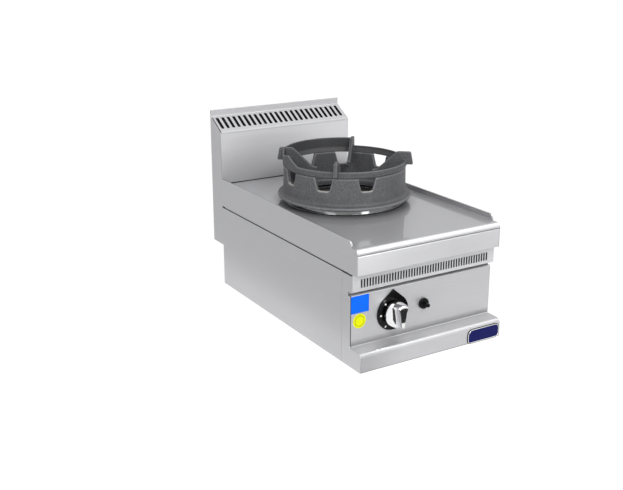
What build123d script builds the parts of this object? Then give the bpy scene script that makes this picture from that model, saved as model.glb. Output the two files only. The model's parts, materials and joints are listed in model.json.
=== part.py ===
"""Countertop wok range: a gas burner with a cast wok stand on a folded sheet casing with a flue.

Millimetres, +Z up, X to the right seen from the front, the front faces -Y.
The origin is the middle of the footprint, on the surface that the range stands on.
"""
from build123d import *
from math import acos, cos, radians, sin, sqrt, tan
import os

# Overall size
WIDTH = 400.0
DEPTH = 730.0
HEIGHT = 470.0

# Sheet and fits
SHEET = 1.2            # casing sheet
TOP_SHEET = 1.5        # hob sheet
FRAME_SHEET = 1.5      # rails under the hob
BEND = 1.5             # inside radius of a fold
HEM_BEND = 0.3         # inside radius of a closed hem
JOINT = 0.3            # open joint between neighbouring casing sheets
RUNNING = 0.05         # radial clearance of a turning or sliding fit
LOOSE = 1.0            # radial clearance of a loose casting
NUT_CLEAR = 0.3        # radial clearance of a threaded neck in its hole

# Hob
WORK_HEIGHT = 279.0    # cooking surface above the ground
RIM_RISE = 15.0        # side rims above the cooking surface
RIM_WIDTH = 4.5
RIM_LEG = 8.0          # inner leg of the rolled rim
RIM_CORNER = 11.0
RIM_SETBACK = 43.0     # front of the rims, behind the front of the foot
SKIRT_DROP = 59.0      # lower edge of the skirt, below the cooking surface
SEAM = 4.0             # shadow gap between the skirt and the side panel
BULLNOSE = 10.0
BULLNOSE_DROP = 13.0   # depth of the rolled front edge
HEM = 10.0
LIP_DROP = 1.0         # end plate's lip below the bullnose
FASCIA_SETBACK = 18.0
FASCIA_GAP = 0.8       # joint line under the bullnose
FLANGE = 15.0          # common fold of frame and casing sheets

# Front below the hob
VENT_SETBACK = 35.0
VENT_HEIGHT = 43.0
RECESS = 10.0          # shadow gap between the vent and the panel
PANEL_SETBACK = 44.5
LEDGE_HEIGHT = 46.0    # top of the stepped foot at the panel
LEDGE_FALL = 1.5
FOOT_CORNER = 9.0
PANEL_CORNER = 2.5
CHEEK_DEPTH = 77.0     # front cheeks, from the front of the foot to their joint
TAB = 12.0             # joggled tab behind that joint
TAB_END = 6.0          # tab's ends short of the cheek's

VENT_SLOTS = 48
VENT_PITCH = 7.53
VENT_SLOT_WIDTH = 3.2
VENT_SLOT_BOTTOM = 9.0   # above the vent's lower edge
VENT_SLOT_HEIGHT = 19.5
LOUVRE = 1.2             # rolled edge that stands out beside each slot
LOUVRE_WIDTH = 1.0

# Flue
FLUE_DEPTH = 58.0
FLUE_BOTTOM = 110.0
UPSTAND = 17.0
SLOPE_RISE = 33.0
FLUE_BEND = 4.0
SPLASH_GAP = 2.3       # shadow gap above the cooking surface
FLUE_SLOTS = 24
FLUE_PITCH = 16.1
FLUE_SLOT_LENGTH = 44.5
FLUE_SLOT_WIDTH = 6.4
FLUE_SLOT_START = 13.0   # from the bend, along the slope
PASSAGE_WIDTH = 300.0    # gas passage through the rear panel
PASSAGE_HEIGHT = 36.0
PASSAGE_DROP = 17.0      # its top edge below the cooking surface
DUCT_WIDTH = 194.0
DUCT_INSET = 12.0        # from the flue's right side
DUCT_FRONT = 13.0        # duct's front wall, ahead of the flue's back
DUCT_LENGTH = 141.0
DUCT_DROP = 29.0         # its top below the flue's top
AIR_SLOTS = 5            # in the rear panel
AIR_SLOT_PITCH = 50.0
AIR_SLOT_LENGTH = 40.0
AIR_SLOT_WIDTH = 6.0
AIR_SLOT_HEIGHT = 55.0
AIR_SLOT_SHIFT = -20.0

# Frame
TRAY_EDGE = 25.0
RAIL_WIDTH = 18.8
RAIL_END = 14.0        # rails' rear ends short of the rear panel
FRONT_RAIL_HEIGHT = 16.0
FRONT_RAIL_SETBACK = 53.0
FRONT_RAIL_DEPTH = 22.0
STAND_HOLE_R = 4.25    # bolts down to a stand
STAND_HOLES_X = 300.0
STAND_HOLES_Y = 500.0
STAND_HOLES_SHIFT = -10.0  # middle of the hole pattern along Y

# Burner opening, on the burner's axis
BURNER_Y = 14.5
OPENING_R = 134.0
COLLAR_OUTER_R = 146.5
COLLAR_WALL = 1.5
COLLAR_CORNER = 5.0
COLLAR_HEIGHT = 15.0
COLLAR_LEG = 11.0      # inner leg below the cooking surface
COLLAR_LIP = 5.5
BOWL_SHEET = 1.2
BOWL_FLOOR_R = 112.0
BOWL_DEPTH = 24.0
BOWL_NECK_RISE = 6.0
BOWL_NECK_GAP = 9.0    # between the bowl's neck and the burner

# Wok stand: cast drum
STAND_HEIGHT = 75.0
STAND_TOP_R = 152.5
STAND_WAIST_R = 153.5
STAND_WALL = 9.0
STAND_FOOT_R = 167.7
STAND_FOOT_EDGE = 7.0
STAND_FLARE = 15.0     # height of the flare above the foot's edge
STAND_FOOT_THICKNESS = 8.0
STAND_HOLE = 124.0     # radius of the opening in the foot
SPIGOT_DEPTH = 8.0
SPIGOT_WALL = 6.0
STAND_WINDOWS = 9      # equal places; the one at SOLID_PLACE is left closed
SOLID_PLACE = 7
WINDOW_TURN = 18.0     # azimuth of place 0
WINDOW_TOP_WIDTH = 45.0
WINDOW_LOW_WIDTH = 28.0
WINDOW_SILL = 43.0     # above the stand's underside
WINDOW_ROUND = 6.0
WINDOW_SPLAY = 2.5     # widening of the window towards the outside, each edge

# Wok ring: cast ring with fingers and a guard
RING_OUTER_R = 154.5
RING_CHAMFER = 3.5
RING_INNER_R = 149.5
RING_FOOT_R = 143.8
RING_HEIGHT = 17.0
RING_SLANT = 12.0      # height of the slanted inner face
GUARD_RISE = 20.5
GUARD_ROUND = 1.6
GUARD_TAIL = 50.5      # degrees of the guard beyond its last finger
GUARD_END = 3.5        # degrees of full height beyond that finger
GUARD_DIP_TURN = 10.5  # lowest place of the tail's saddle, in degrees beyond that finger
GUARD_DIP = 13.5       # its depth below the guard's top
GUARD_HUMP_TURN = 34.5 # top of the tail's hump, in degrees beyond that finger
FINGERS = 4
FINGER_TURN = 49.5
FINGER_THICKNESS = 8.0
FINGER_RISE = 22.0     # finger tops above the ring
FINGER_OUT_R = 165.0
FINGER_HEEL_R = 171.0
FINGER_HEEL = 7.0      # heel's height above the ring's underside
FINGER_CREST_R = 131.0
FINGER_TIP_R = 69.5
FINGER_TIP_DROP = 8.5  # tip's top below the ring's underside
FINGER_TIP_DEPTH = 15.0
FINGER_ROOT_DEPTH = 20.0
FINGER_EDGE = 1.5

# Burner
BURNER_R = 58.0
BURNER_WALL = 5.0
BURNER_DROP = 20.5     # seat below the mixing tube's axis
BURNER_RISE = 40.0     # rim above that axis
BURNER_FOOT_R = 34.0
CAP_R = 60.0
CAP_HEIGHT = 22.0
CAP_SPIGOT = 6.0
CAP_PORTS = 24
CAP_PORT_R = 2.2
MIX_DROP = 53.0        # mixing tube's axis below the cooking surface
MIX_R = 17.0
MIX_THROAT_R = 14.0
MIX_MOUTH_R = 20.0
MIX_WALL = 3.5
MIX_THROAT = 150.0     # distance of the throat from the burner's axis
MIX_MOUTH = 205.0      # distance of the mouth's rear end from that axis
CAGE_LENGTH = 45.0     # air cage at the mouth
CAGE_END = 4.0
AIR_WINDOW = 26.0
AIR_WINDOW_HALF = 35.0     # half angle of an air window
SHUTTER_LENGTH = 34.0
SHUTTER_WALL = 2.0
SHUTTER_SETBACK = 5.0      # from the cage's front face
HOLDER_R = 8.0
HOLDER_BLOCK = 26.0
HOLDER_SHANK = 8.0         # shank beyond the cage's end plate
INJECTOR_R = 4.5
INJECTOR_LENGTH = 12.0
INJECTOR_BORE_R = 1.0
BRACKET_WIDTH = 60.0
BRACKET_SHEET = 2.5
BRACKET_INSET = 15.0       # upper bends, from the rails
BRACKET_LEG = 12.0         # run of the slanted legs

# Controls
KNOB_X = -85.5
KNOB_Z = 107.5
BEZEL_R = 42.5
BEZEL_TIP = 55.5           # tip above the knob's axis
BEZEL_THICKNESS = 3.5
BEZEL_EDGE = 0.8
KNOB_GAP = 4.8             # knob's base off the bezel
KNOB_TRAVEL = 4.0
KNOB_R = 30.0
KNOB_BASE_R = 27.5
KNOB_DEPTH = 35.8
KNOB_SKIRT = 9.0           # depth of the round base
GRIP_FRONT_R = 27.0
GRIP_WIDTH = 15.0
GRIP_FRONT_WIDTH = 12.0
SCOOP_R = 26.0
GRIP_TAPER = 10.5          # degrees that each side of the grip leans in towards its lower end
SPINDLE_R = 4.0
SPINDLE_SOCKET = 22.0      # depth of the spindle in the knob
SPINDLE_FLAT = 1.0
VALVE_R = 16.0
VALVE_LENGTH = 52.0
VALVE_PLATE = 44.0
VALVE_PLATE_THICKNESS = 3.0
VALVE_NECK_R = 9.0
CHAMBER_R = 9.5
CHAMBER_LENGTH = 16.0
PLUNGER_R = 9.0
PLUNGER_LENGTH = 5.0
VALVE_SCREW_SPACING = 32.0
IGNITER_X = 1.0
IGNITER_Z = 111.0
IGNITER_R = 12.8
IGNITER_FLANGE = 6.5
IGNITER_NECK_R = 10.0
IGNITER_BODY_R = 12.0
IGNITER_LENGTH = 44.0
IGNITER_NUT_R = 14.5
IGNITER_NUT = 5.0
BUTTON_R = 4.8
BUTTON_REACH = 21.5        # tip ahead of the panel
BUTTON_TRAVEL = 5.0
BUTTON_STEM = 28.0
BUTTON_SHOULDER_R = 7.0
BUTTON_SHOULDER = 4.0

# Gas pipes
SUPPLY_R = 8.5
SUPPLY_Z = 45.0
INLET_INSET = 50.0         # from the right side
INLET_R = 10.48            # R 1/2 thread
INLET_REACH = 30.0
INLET_FLANGE_R = 16.0
INLET_FLANGE = 5.0
BURNER_PIPE_R = 6.0
PILOT_PIPE_R = 2.0
PIPE_BEND = 4.0            # bend radius in pipe radii
VALVE_PORT = 36.0          # valve's ports behind the valve plate
PORT_BOSS = 6.0

# Pilot group, beside the burner
PILOT_TURN = -135.0
PILOT_R = 78.0
PILOT_SPREAD = 14.0
PILOT_SHELF_RISE = 6.0     # above the mixing tube's axis
PILOT_SHELF_SHEET = 2.0
PILOT_BODY_R = 5.0
PILOT_REACH = 36.0         # top of each piece above the shelf
PROBE_R = 3.0
PROBE_REACH = 42.0
ELECTRODE_R = 4.0
ELECTRODE_REACH = 30.0
ELECTRODE_PIN_R = 1.2
ELECTRODE_PIN = 10.0
PILOT_HOLE_R = 22.0

# Screws
SCREW_R = 2.0
SCREW_HEAD_R = 4.0
SCREW_HEAD = 2.4

# Places that follow from the sizes above
FRONT = -DEPTH / 2
BACK = DEPTH / 2
HALF = WIDTH / 2
INNER = HALF - SHEET                       # inner face of the side sheets
FASCIA_Y = FRONT + FASCIA_SETBACK
VENT_Y = FRONT + VENT_SETBACK
PANEL_Y = FRONT + PANEL_SETBACK
PANEL_BACK = PANEL_Y + SHEET
CHEEK_Y = FRONT + CHEEK_DEPTH
BODY_BACK = BACK - FLUE_DEPTH
RIM_FRONT = FRONT + RIM_SETBACK
RIM_TOP = WORK_HEIGHT + RIM_RISE
HOB_UNDER = WORK_HEIGHT - TOP_SHEET
SKIRT_BOTTOM = WORK_HEIGHT - SKIRT_DROP
SIDE_TOP = SKIRT_BOTTOM - SEAM
NOSE_BOTTOM = WORK_HEIGHT - BULLNOSE_DROP
FASCIA_TOP = NOSE_BOTTOM - FASCIA_GAP
VENT_BOTTOM = SKIRT_BOTTOM - VENT_HEIGHT
PANEL_TOP = VENT_BOTTOM - RECESS
FRONT_RAIL_Y = FRONT + FRONT_RAIL_SETBACK
SPLASH_BOTTOM = WORK_HEIGHT + SPLASH_GAP
SLOPE_TOP = HEIGHT - UPSTAND
FLUE_FRONT = SLOPE_TOP - SLOPE_RISE        # bend between the flue's front and its slope
UPSTAND_Y = BACK - 2 * SHEET               # front face of the upstand
SLOPE_RUN = UPSTAND_Y - BODY_BACK
DUCT_RIGHT = HALF - DUCT_INSET
DUCT_LEFT = DUCT_RIGHT - DUCT_WIDTH
DUCT_TOP = HEIGHT - DUCT_DROP
PASSAGE_TOP = WORK_HEIGHT - PASSAGE_DROP
INLET_X = HALF - INLET_INSET
RAIL_TOP = HOB_UNDER
RAIL_FLOOR = SIDE_TOP + FRAME_SHEET
COLLAR_TOP = WORK_HEIGHT + COLLAR_HEIGHT
COLLAR_INNER_R = OPENING_R - LOOSE - COLLAR_WALL
STAND_TOP = COLLAR_TOP + STAND_HEIGHT
RING_TOP = STAND_TOP + RING_HEIGHT
MIX_HEIGHT = WORK_HEIGHT - MIX_DROP
BURNER_BASE = MIX_HEIGHT - BURNER_DROP
BURNER_TOP = MIX_HEIGHT + BURNER_RISE
PILOT_SHELF = MIX_HEIGHT + PILOT_SHELF_RISE
CAGE_Y = BURNER_Y - MIX_MOUTH - CAGE_LENGTH    # front face of the air cage
VALVE_FRONT = PANEL_BACK + VALVE_PLATE_THICKNESS
PORT_Y = VALVE_FRONT + VALVE_PORT
KNOB_BACK = PANEL_Y - BEZEL_THICKNESS - KNOB_GAP
KNOB_FRONT = KNOB_BACK - KNOB_DEPTH


def outline(corners):
    """Closed flat face; a corner is (x, y) or (x, y, radius)."""
    points = [(corner[0], corner[1]) for corner in corners]
    radii = [corner[2] if len(corner) == 3 else 0 for corner in corners]
    return make_face(FilletPolyline(*points, radius=radii, close=True))


def sheet_section(path, thickness):
    """Section of a folded sheet; the sheet lies to the left of the path of its outer face."""
    points = [Vector(corner[0], corner[1]) for corner in path]
    bends = [corner[2] if len(corner) == 3 else BEND for corner in path]
    normals = []
    for start, end in zip(points, points[1:]):
        run = (end - start).normalized()
        normals.append(Vector(-run.Y, run.X))
    outer = []
    inner = []
    last = len(points) - 1
    for index, point in enumerate(points):
        before = normals[max(index - 1, 0)]
        after = normals[min(index, last - 1)]
        shift = (before + after) * (thickness / (1 + before.dot(after)))
        turn = before.X * after.Y - before.Y * after.X
        if index in (0, last):
            outer_r, inner_r = 0, 0
        elif turn > 0:
            outer_r, inner_r = bends[index] + thickness, bends[index]
        else:
            outer_r, inner_r = bends[index], bends[index] + thickness
        outer.append((point.X, point.Y, outer_r))
        inner.append((point.X + shift.X, point.Y + shift.Y, inner_r))
    return outline(outer + inner[::-1])


def across(section, half_width):
    """Extrude a (Y, Z) section to both sides of the middle."""
    return extrude(Plane.YZ * section, amount=half_width, both=True)


def plate(section, side, thickness=SHEET, outer=None):
    """Side plate from a (Y, Z) outline; side is -1 for left and 1 for right."""
    face_x = HALF if outer is None else outer
    solid = extrude(Plane.YZ * section, amount=thickness)
    return Pos(face_x - thickness if side > 0 else -face_x, 0, 0) * solid


def box(x_range, y_range, z_range):
    """Box between two values on each axis."""
    size = [high - low for low, high in (x_range, y_range, z_range)]
    middle = [(high + low) / 2 for low, high in (x_range, y_range, z_range)]
    return Pos(*middle) * Box(*size)


def turned(corners, angle=360):
    """Revolve an (r, z) outline about the burner's axis."""
    return Pos(0, BURNER_Y, 0) * revolve(Plane.XZ * outline(corners), Axis.Z, angle)


def rod(radius, start, end):
    """Round bar between two points."""
    run = Vector(*end) - Vector(*start)
    return Plane(origin=start, z_dir=run.normalized()) * Pos(0, 0, run.length / 2) * Cylinder(radius, run.length)


def pipe(radius, points, bore=0.0):
    """Round pipe along straight runs joined by bends."""
    if len(points) == 2:
        path = Line(*points)
    else:
        path = FilletPolyline(*points, radius=radius * PIPE_BEND)
    start = Vector(*points[0])
    heading = (Vector(*points[1]) - start).normalized()
    section = Plane(origin=start, z_dir=heading) * Circle(radius)
    tube = sweep(section, path=path)
    if bore:
        tube -= sweep(Plane(origin=start, z_dir=heading) * Circle(bore), path=path)
    return tube


def mirrored(solid):
    """The same piece for the other side."""
    return mirror(solid, Plane.YZ)


# Frame and casing

def base_tray():
    """Shallow tray with upturned edges and the holes that bolt it to a stand."""
    front = PANEL_BACK + JOINT
    back = BODY_BACK - SHEET
    tray = box((-INNER, INNER), (front, back), (0, TRAY_EDGE))
    tray -= box((SHEET - INNER, INNER - SHEET), (front + SHEET, back - SHEET), (SHEET, TRAY_EDGE))
    holes = [
        Pos(x, STAND_HOLES_SHIFT + y, SHEET / 2) * Cylinder(STAND_HOLE_R, SHEET * 2)
        for x in (-STAND_HOLES_X / 2, STAND_HOLES_X / 2)
        for y in (-STAND_HOLES_Y / 2, STAND_HOLES_Y / 2)
    ]
    return tray - holes


def side_panel():
    """Right side panel with a folded top flange that carries the rail."""
    path = [(HALF, 0), (HALF, SIDE_TOP), (HALF - FLANGE, SIDE_TOP)]
    section = sheet_section(path, SHEET)
    solid = extrude(Plane.XZ * section, amount=-(BODY_BACK - CHEEK_Y - JOINT))
    solid = Pos(0, CHEEK_Y + JOINT, 0) * solid
    return solid - box((0, INNER), (BODY_BACK - SHEET, BODY_BACK), (0, SIDE_TOP))


def panel_profile():
    """Corners of the control panel's outer line, from its top return to its bottom return."""
    return [
        (PANEL_Y + FLANGE, PANEL_TOP),
        (PANEL_Y, PANEL_TOP),
        (PANEL_Y, LEDGE_HEIGHT, PANEL_CORNER),
        (FRONT, LEDGE_HEIGHT - LEDGE_FALL, FOOT_CORNER),
        (FRONT, 0),
        (FRONT + FLANGE, 0),
    ]


def front_cheek():
    """Right front cheek: follows the outline of the vent, the panel and the foot."""
    vent_back = VENT_Y + SHEET
    face = outline([
        (CHEEK_Y, 0),
        (CHEEK_Y, SIDE_TOP),
        (vent_back, SIDE_TOP),
        (vent_back, VENT_BOTTOM + SHEET, BEND + JOINT),
        (FRONT_RAIL_Y, VENT_BOTTOM + SHEET),
        (FRONT_RAIL_Y, PANEL_TOP),
        (PANEL_Y, PANEL_TOP, BEND + SHEET),
        (PANEL_Y, LEDGE_HEIGHT, PANEL_CORNER),
        (FRONT, LEDGE_HEIGHT - LEDGE_FALL, FOOT_CORNER + SHEET),
        (FRONT, 0, BEND + SHEET),
    ])
    cheek = plate(face, 1)
    tab = box(
        (INNER - SHEET, INNER),
        (CHEEK_Y - TAB, CHEEK_Y + TAB),
        (TRAY_EDGE + TAB_END, SIDE_TOP - SHEET - BEND - TAB_END),
    )
    return cheek + tab


def rear_panel():
    """Rear sheet with the gas passage to the flue, air slots and the inlet's hole."""
    panel = box((-INNER, INNER), (BODY_BACK - SHEET, BODY_BACK), (0, HOB_UNDER))
    passage = box(
        (-PASSAGE_WIDTH / 2, PASSAGE_WIDTH / 2),
        (BODY_BACK - 2 * SHEET, BODY_BACK + SHEET),
        (PASSAGE_TOP - PASSAGE_HEIGHT, PASSAGE_TOP),
    )
    inlet = Pos(INLET_X, BODY_BACK, SUPPLY_Z) * Rot(90, 0, 0) * Cylinder(INLET_R + NUT_CLEAR, 4 * SHEET)
    holes = [
        Pos(x, BODY_BACK, z) * Rot(90, 0, 0) * Cylinder(SCREW_R, 4 * SHEET)
        for x, z in rear_screw_places()
    ]
    first = AIR_SLOT_SHIFT - AIR_SLOT_PITCH * (AIR_SLOTS - 1) / 2
    slot = Rot(90, 0, 0) * slot_solid(AIR_SLOT_LENGTH, AIR_SLOT_WIDTH, 4 * SHEET)
    air = [
        Pos(first + AIR_SLOT_PITCH * index, BODY_BACK, AIR_SLOT_HEIGHT) * slot
        for index in range(AIR_SLOTS)
    ]
    return panel - [passage, inlet] - holes - air


def slot_solid(length, width, depth):
    """Solid with the outline of a slot, for cutting."""
    return extrude(SlotOverall(length, width), amount=depth / 2, both=True)


def rear_screw_places():
    """Screws of the rear panel, as (x, z)."""
    edge = INNER - FLANGE / 2
    return [(side * edge, z) for side in (-1, 1) for z in (FLANGE, FLUE_BOTTOM - FLANGE)]


def control_panel():
    """One folded sheet: top return, panel, ledge, rounded foot and bottom return."""
    sheet = across(sheet_section(panel_profile(), SHEET), INNER - JOINT)
    spindle = Pos(KNOB_X, PANEL_Y, KNOB_Z) * Rot(90, 0, 0) * Cylinder(VALVE_NECK_R + NUT_CLEAR, 4 * SHEET)
    igniter = Pos(IGNITER_X, PANEL_Y, IGNITER_Z) * Rot(90, 0, 0)
    igniter = igniter * Cylinder(IGNITER_NECK_R + NUT_CLEAR, 4 * SHEET)
    screws = [
        Pos(x, PANEL_Y, KNOB_Z) * Rot(90, 0, 0) * Cylinder(SCREW_R, 4 * SHEET)
        for x in valve_screw_places()
    ]
    return sheet - [spindle, igniter] - screws


def valve_screw_places():
    """X of the two screws that hold the valve's plate, under the bezel."""
    return (KNOB_X - VALVE_SCREW_SPACING / 2, KNOB_X + VALVE_SCREW_SPACING / 2)


def vent_grille():
    """Folded strip with a row of upright slots, each with a rolled edge."""
    path = [
        (VENT_Y + FLANGE, SKIRT_BOTTOM),
        (VENT_Y, SKIRT_BOTTOM),
        (VENT_Y, VENT_BOTTOM),
        (FRONT_RAIL_Y, VENT_BOTTOM),
    ]
    strip = across(sheet_section(path, SHEET), HALF)
    slot_z = (VENT_BOTTOM + VENT_SLOT_BOTTOM, VENT_BOTTOM + VENT_SLOT_BOTTOM + VENT_SLOT_HEIGHT)
    first = -VENT_PITCH * (VENT_SLOTS - 1) / 2
    middles = [first + VENT_PITCH * index for index in range(VENT_SLOTS)]
    half = VENT_SLOT_WIDTH / 2
    cuts = [box((x - half, x + half), (VENT_Y - SHEET, VENT_Y + 2 * SHEET), slot_z) for x in middles]
    edges = [
        box((x + half, x + half + LOUVRE_WIDTH), (VENT_Y - LOUVRE, VENT_Y + SHEET / 2), slot_z)
        for x in middles
    ]
    return strip - cuts + edges


def front_fascia():
    """Flat front plate under the bullnose, folded back at both edges."""
    path = [
        (VENT_Y + FLANGE, SKIRT_BOTTOM),
        (FASCIA_Y, SKIRT_BOTTOM),
        (FASCIA_Y, FASCIA_TOP),
        (FASCIA_Y + HEM, FASCIA_TOP),
    ]
    return across(sheet_section(path[::-1], SHEET), INNER - JOINT)


def front_rail():
    """Channel across the front, between the panel's return and the vent."""
    low = PANEL_TOP
    path = [
        (FRONT_RAIL_Y + FRONT_RAIL_DEPTH, low + FRONT_RAIL_HEIGHT),
        (FRONT_RAIL_Y, low + FRONT_RAIL_HEIGHT),
        (FRONT_RAIL_Y, low),
        (FRONT_RAIL_Y + FRONT_RAIL_DEPTH, low),
    ]
    return across(sheet_section(path, FRAME_SHEET), INNER - SHEET)


def side_rail():
    """Right rail: channel between the side panel's flange and the hob."""
    path = [
        (INNER - RAIL_WIDTH, SIDE_TOP),
        (INNER, SIDE_TOP),
        (INNER, RAIL_TOP),
        (INNER - RAIL_WIDTH, RAIL_TOP),
    ]
    section = sheet_section(path, FRAME_SHEET)
    start = VENT_Y + FLANGE + JOINT
    return Pos(0, start, 0) * extrude(Plane.XZ * section, amount=start - (BODY_BACK - RAIL_END))


# Hob

def worktop():
    """Hob sheet: side upturns, bullnose with a hem, rear upturn and the burner hole."""
    half = INNER - JOINT
    path = [
        (FASCIA_Y + HEM, NOSE_BOTTOM),
        (FASCIA_Y, NOSE_BOTTOM),
        (FASCIA_Y, WORK_HEIGHT, BULLNOSE - TOP_SHEET),
        (BODY_BACK + SHEET + JOINT, WORK_HEIGHT),
        (BODY_BACK + SHEET + JOINT, WORK_HEIGHT + RIM_LEG),
    ]
    sheet = across(sheet_section(path[::-1], TOP_SHEET), half)
    upturn_path = [
        (half, RIM_TOP - SHEET - JOINT),
        (half, HOB_UNDER),
        (half - FLANGE, HOB_UNDER),
    ]
    upturn = extrude(Plane.XZ * sheet_section(upturn_path[::-1], TOP_SHEET), amount=-(BODY_BACK - RIM_FRONT))
    front = RIM_FRONT + SHEET + JOINT
    upturn = Pos(0, RIM_FRONT, 0) * upturn & across(outline([
        (front, HOB_UNDER),
        (front, RIM_TOP - SHEET - JOINT, RIM_CORNER - SHEET - JOINT),
        (BODY_BACK, RIM_TOP - SHEET - JOINT),
        (BODY_BACK, HOB_UNDER),
    ]), HALF)
    blend = sheet + upturn + mirrored(upturn)
    return blend - Pos(0, BURNER_Y, WORK_HEIGHT) * Cylinder(OPENING_R, 4 * TOP_SHEET)


def skirt():
    """Right side plate of the hob: stepped front end and a rolled rim over the upturn."""
    lip = WORK_HEIGHT - LIP_DROP
    foot = WORK_HEIGHT + BEND + JOINT
    face = outline([
        (BODY_BACK, SKIRT_BOTTOM),
        (BODY_BACK, RIM_TOP),
        (RIM_FRONT, RIM_TOP, RIM_CORNER),
        (RIM_FRONT, lip, BEND),
        (FASCIA_Y, lip, BULLNOSE - LIP_DROP),
        (FASCIA_Y, SKIRT_BOTTOM),
    ])
    side = plate(face, 1)
    rim = outline([
        (BODY_BACK, RIM_TOP - SHEET),
        (BODY_BACK, RIM_TOP),
        (RIM_FRONT, RIM_TOP, RIM_CORNER),
        (RIM_FRONT, foot),
        (RIM_FRONT + SHEET, foot),
        (RIM_FRONT + SHEET, RIM_TOP - SHEET, RIM_CORNER - SHEET),
    ])
    cap = plate(rim, 1, RIM_WIDTH)
    leg_face = outline([
        (BODY_BACK, RIM_TOP - RIM_LEG),
        (BODY_BACK, RIM_TOP),
        (RIM_FRONT, RIM_TOP, RIM_CORNER),
        (RIM_FRONT, foot),
        (RIM_FRONT + RIM_LEG, foot),
        (RIM_FRONT + RIM_LEG, RIM_TOP - RIM_LEG),
    ])
    leg = plate(leg_face, 1, SHEET, HALF - RIM_WIDTH + SHEET)
    return side + cap + leg


def hob_collar():
    """Spun ring round the burner hole: flat crown, foot on the hob, inner leg with a lip."""
    inner = COLLAR_INNER_R
    wall = COLLAR_WALL
    low = WORK_HEIGHT - COLLAR_LEG
    corner = COLLAR_CORNER
    return turned([
        (COLLAR_OUTER_R, WORK_HEIGHT),
        (COLLAR_OUTER_R, COLLAR_TOP, corner),
        (inner, COLLAR_TOP, corner),
        (inner, low + wall),
        (inner - COLLAR_LIP, low + wall),
        (inner - COLLAR_LIP, low),
        (inner + wall, low),
        (inner + wall, COLLAR_TOP - wall, corner - wall),
        (COLLAR_OUTER_R - wall, COLLAR_TOP - wall, corner - wall),
        (COLLAR_OUTER_R - wall, WORK_HEIGHT),
    ])


def drip_bowl():
    """Pressed bowl that hangs on the collar's lip, with a neck round the burner."""
    seat = WORK_HEIGHT - COLLAR_LEG + COLLAR_WALL
    lip_r = COLLAR_INNER_R - JOINT
    wall_r = COLLAR_INNER_R - COLLAR_LIP - LOOSE
    neck_r = BURNER_R + BOWL_NECK_GAP
    floor = seat - BOWL_DEPTH
    neck_top = floor + BOWL_NECK_RISE
    path = [
        (lip_r, seat),
        (wall_r, seat, BEND / 2),
        (BOWL_FLOOR_R, floor, 3 * BEND),
        (neck_r, floor),
        (neck_r, neck_top),
    ]
    bowl = Pos(0, BURNER_Y, 0) * revolve(Plane.XZ * sheet_section(path[::-1], BOWL_SHEET), Axis.Z)
    hole = pilot_place(PILOT_R) * Pos(0, 0, floor) * Cylinder(PILOT_HOLE_R, 4 * BOWL_SHEET)
    return bowl - hole


def pilot_place(radius, offset=0.0):
    """Place beside the burner, at a radius and an offset along the tangent."""
    return Pos(0, BURNER_Y, 0) * Rot(0, 0, PILOT_TURN) * Pos(radius, offset, 0)


# Flue

def splashback():
    """Flue front, slotted slope and upstand with a hem, folded from one sheet."""
    path = [
        (BODY_BACK, SPLASH_BOTTOM),
        (BODY_BACK, FLUE_FRONT, FLUE_BEND),
        (UPSTAND_Y, SLOPE_TOP, FLUE_BEND),
        (UPSTAND_Y, HEIGHT, HEM_BEND),
        (BACK, HEIGHT),
    ]
    sheet = across(sheet_section(path[::-1], SHEET), INNER - JOINT)
    slope_length = sqrt(SLOPE_RUN ** 2 + SLOPE_RISE ** 2)
    along = Vector(SLOPE_RUN, SLOPE_RISE) / slope_length
    distance = FLUE_SLOT_START + FLUE_SLOT_LENGTH / 2
    middle = (BODY_BACK + along.X * distance, FLUE_FRONT + along.Y * distance)
    slope = Plane(origin=(0, *middle), x_dir=(1, 0, 0), z_dir=(0, -along.Y, along.X))
    slot = extrude(SlotOverall(FLUE_SLOT_LENGTH, FLUE_SLOT_WIDTH, rotation=90), amount=2 * SHEET, both=True)
    first = -FLUE_PITCH * (FLUE_SLOTS - 1) / 2
    cuts = [slope * Pos(first + FLUE_PITCH * index, 0, 0) * slot for index in range(FLUE_SLOTS)]
    return sheet - cuts


def flue_side():
    """Right side plate of the flue, with the slope's outline."""
    face = outline([
        (BODY_BACK + JOINT, FLUE_BOTTOM),
        (BACK, FLUE_BOTTOM),
        (BACK, HEIGHT),
        (UPSTAND_Y, HEIGHT),
        (UPSTAND_Y, SLOPE_TOP, FLUE_BEND),
        (BODY_BACK, FLUE_FRONT, FLUE_BEND),
        (BODY_BACK, RIM_TOP + JOINT),
        (BODY_BACK + JOINT, RIM_TOP + JOINT),
    ])
    return plate(face, 1)


def flue_back():
    """Rear sheet of the flue, under the splashback's hem."""
    return box((-INNER, INNER), (BACK - SHEET, BACK), (FLUE_BOTTOM, HEIGHT - SHEET - HEM_BEND))


def flue_bottom():
    """Channel that closes the flue below."""
    path = [
        (BODY_BACK, FLUE_BOTTOM + FLANGE),
        (BODY_BACK, FLUE_BOTTOM),
        (BACK - SHEET, FLUE_BOTTOM),
        (BACK - SHEET, FLUE_BOTTOM + FLANGE),
    ]
    return across(sheet_section(path, SHEET), INNER)


def flue_duct():
    """Inner duct on the flue's back, over the right half of the slots."""
    wall = BACK - SHEET - DUCT_FRONT
    bottom = DUCT_TOP - DUCT_LENGTH
    duct = box((DUCT_LEFT, DUCT_RIGHT), (wall, BACK - SHEET), (bottom, DUCT_TOP))
    hollow = box(
        (DUCT_LEFT + SHEET, DUCT_RIGHT - SHEET),
        (wall + SHEET, BACK),
        (bottom - SHEET, DUCT_TOP + SHEET),
    )
    return duct - hollow


# Wok stand and ring

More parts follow.
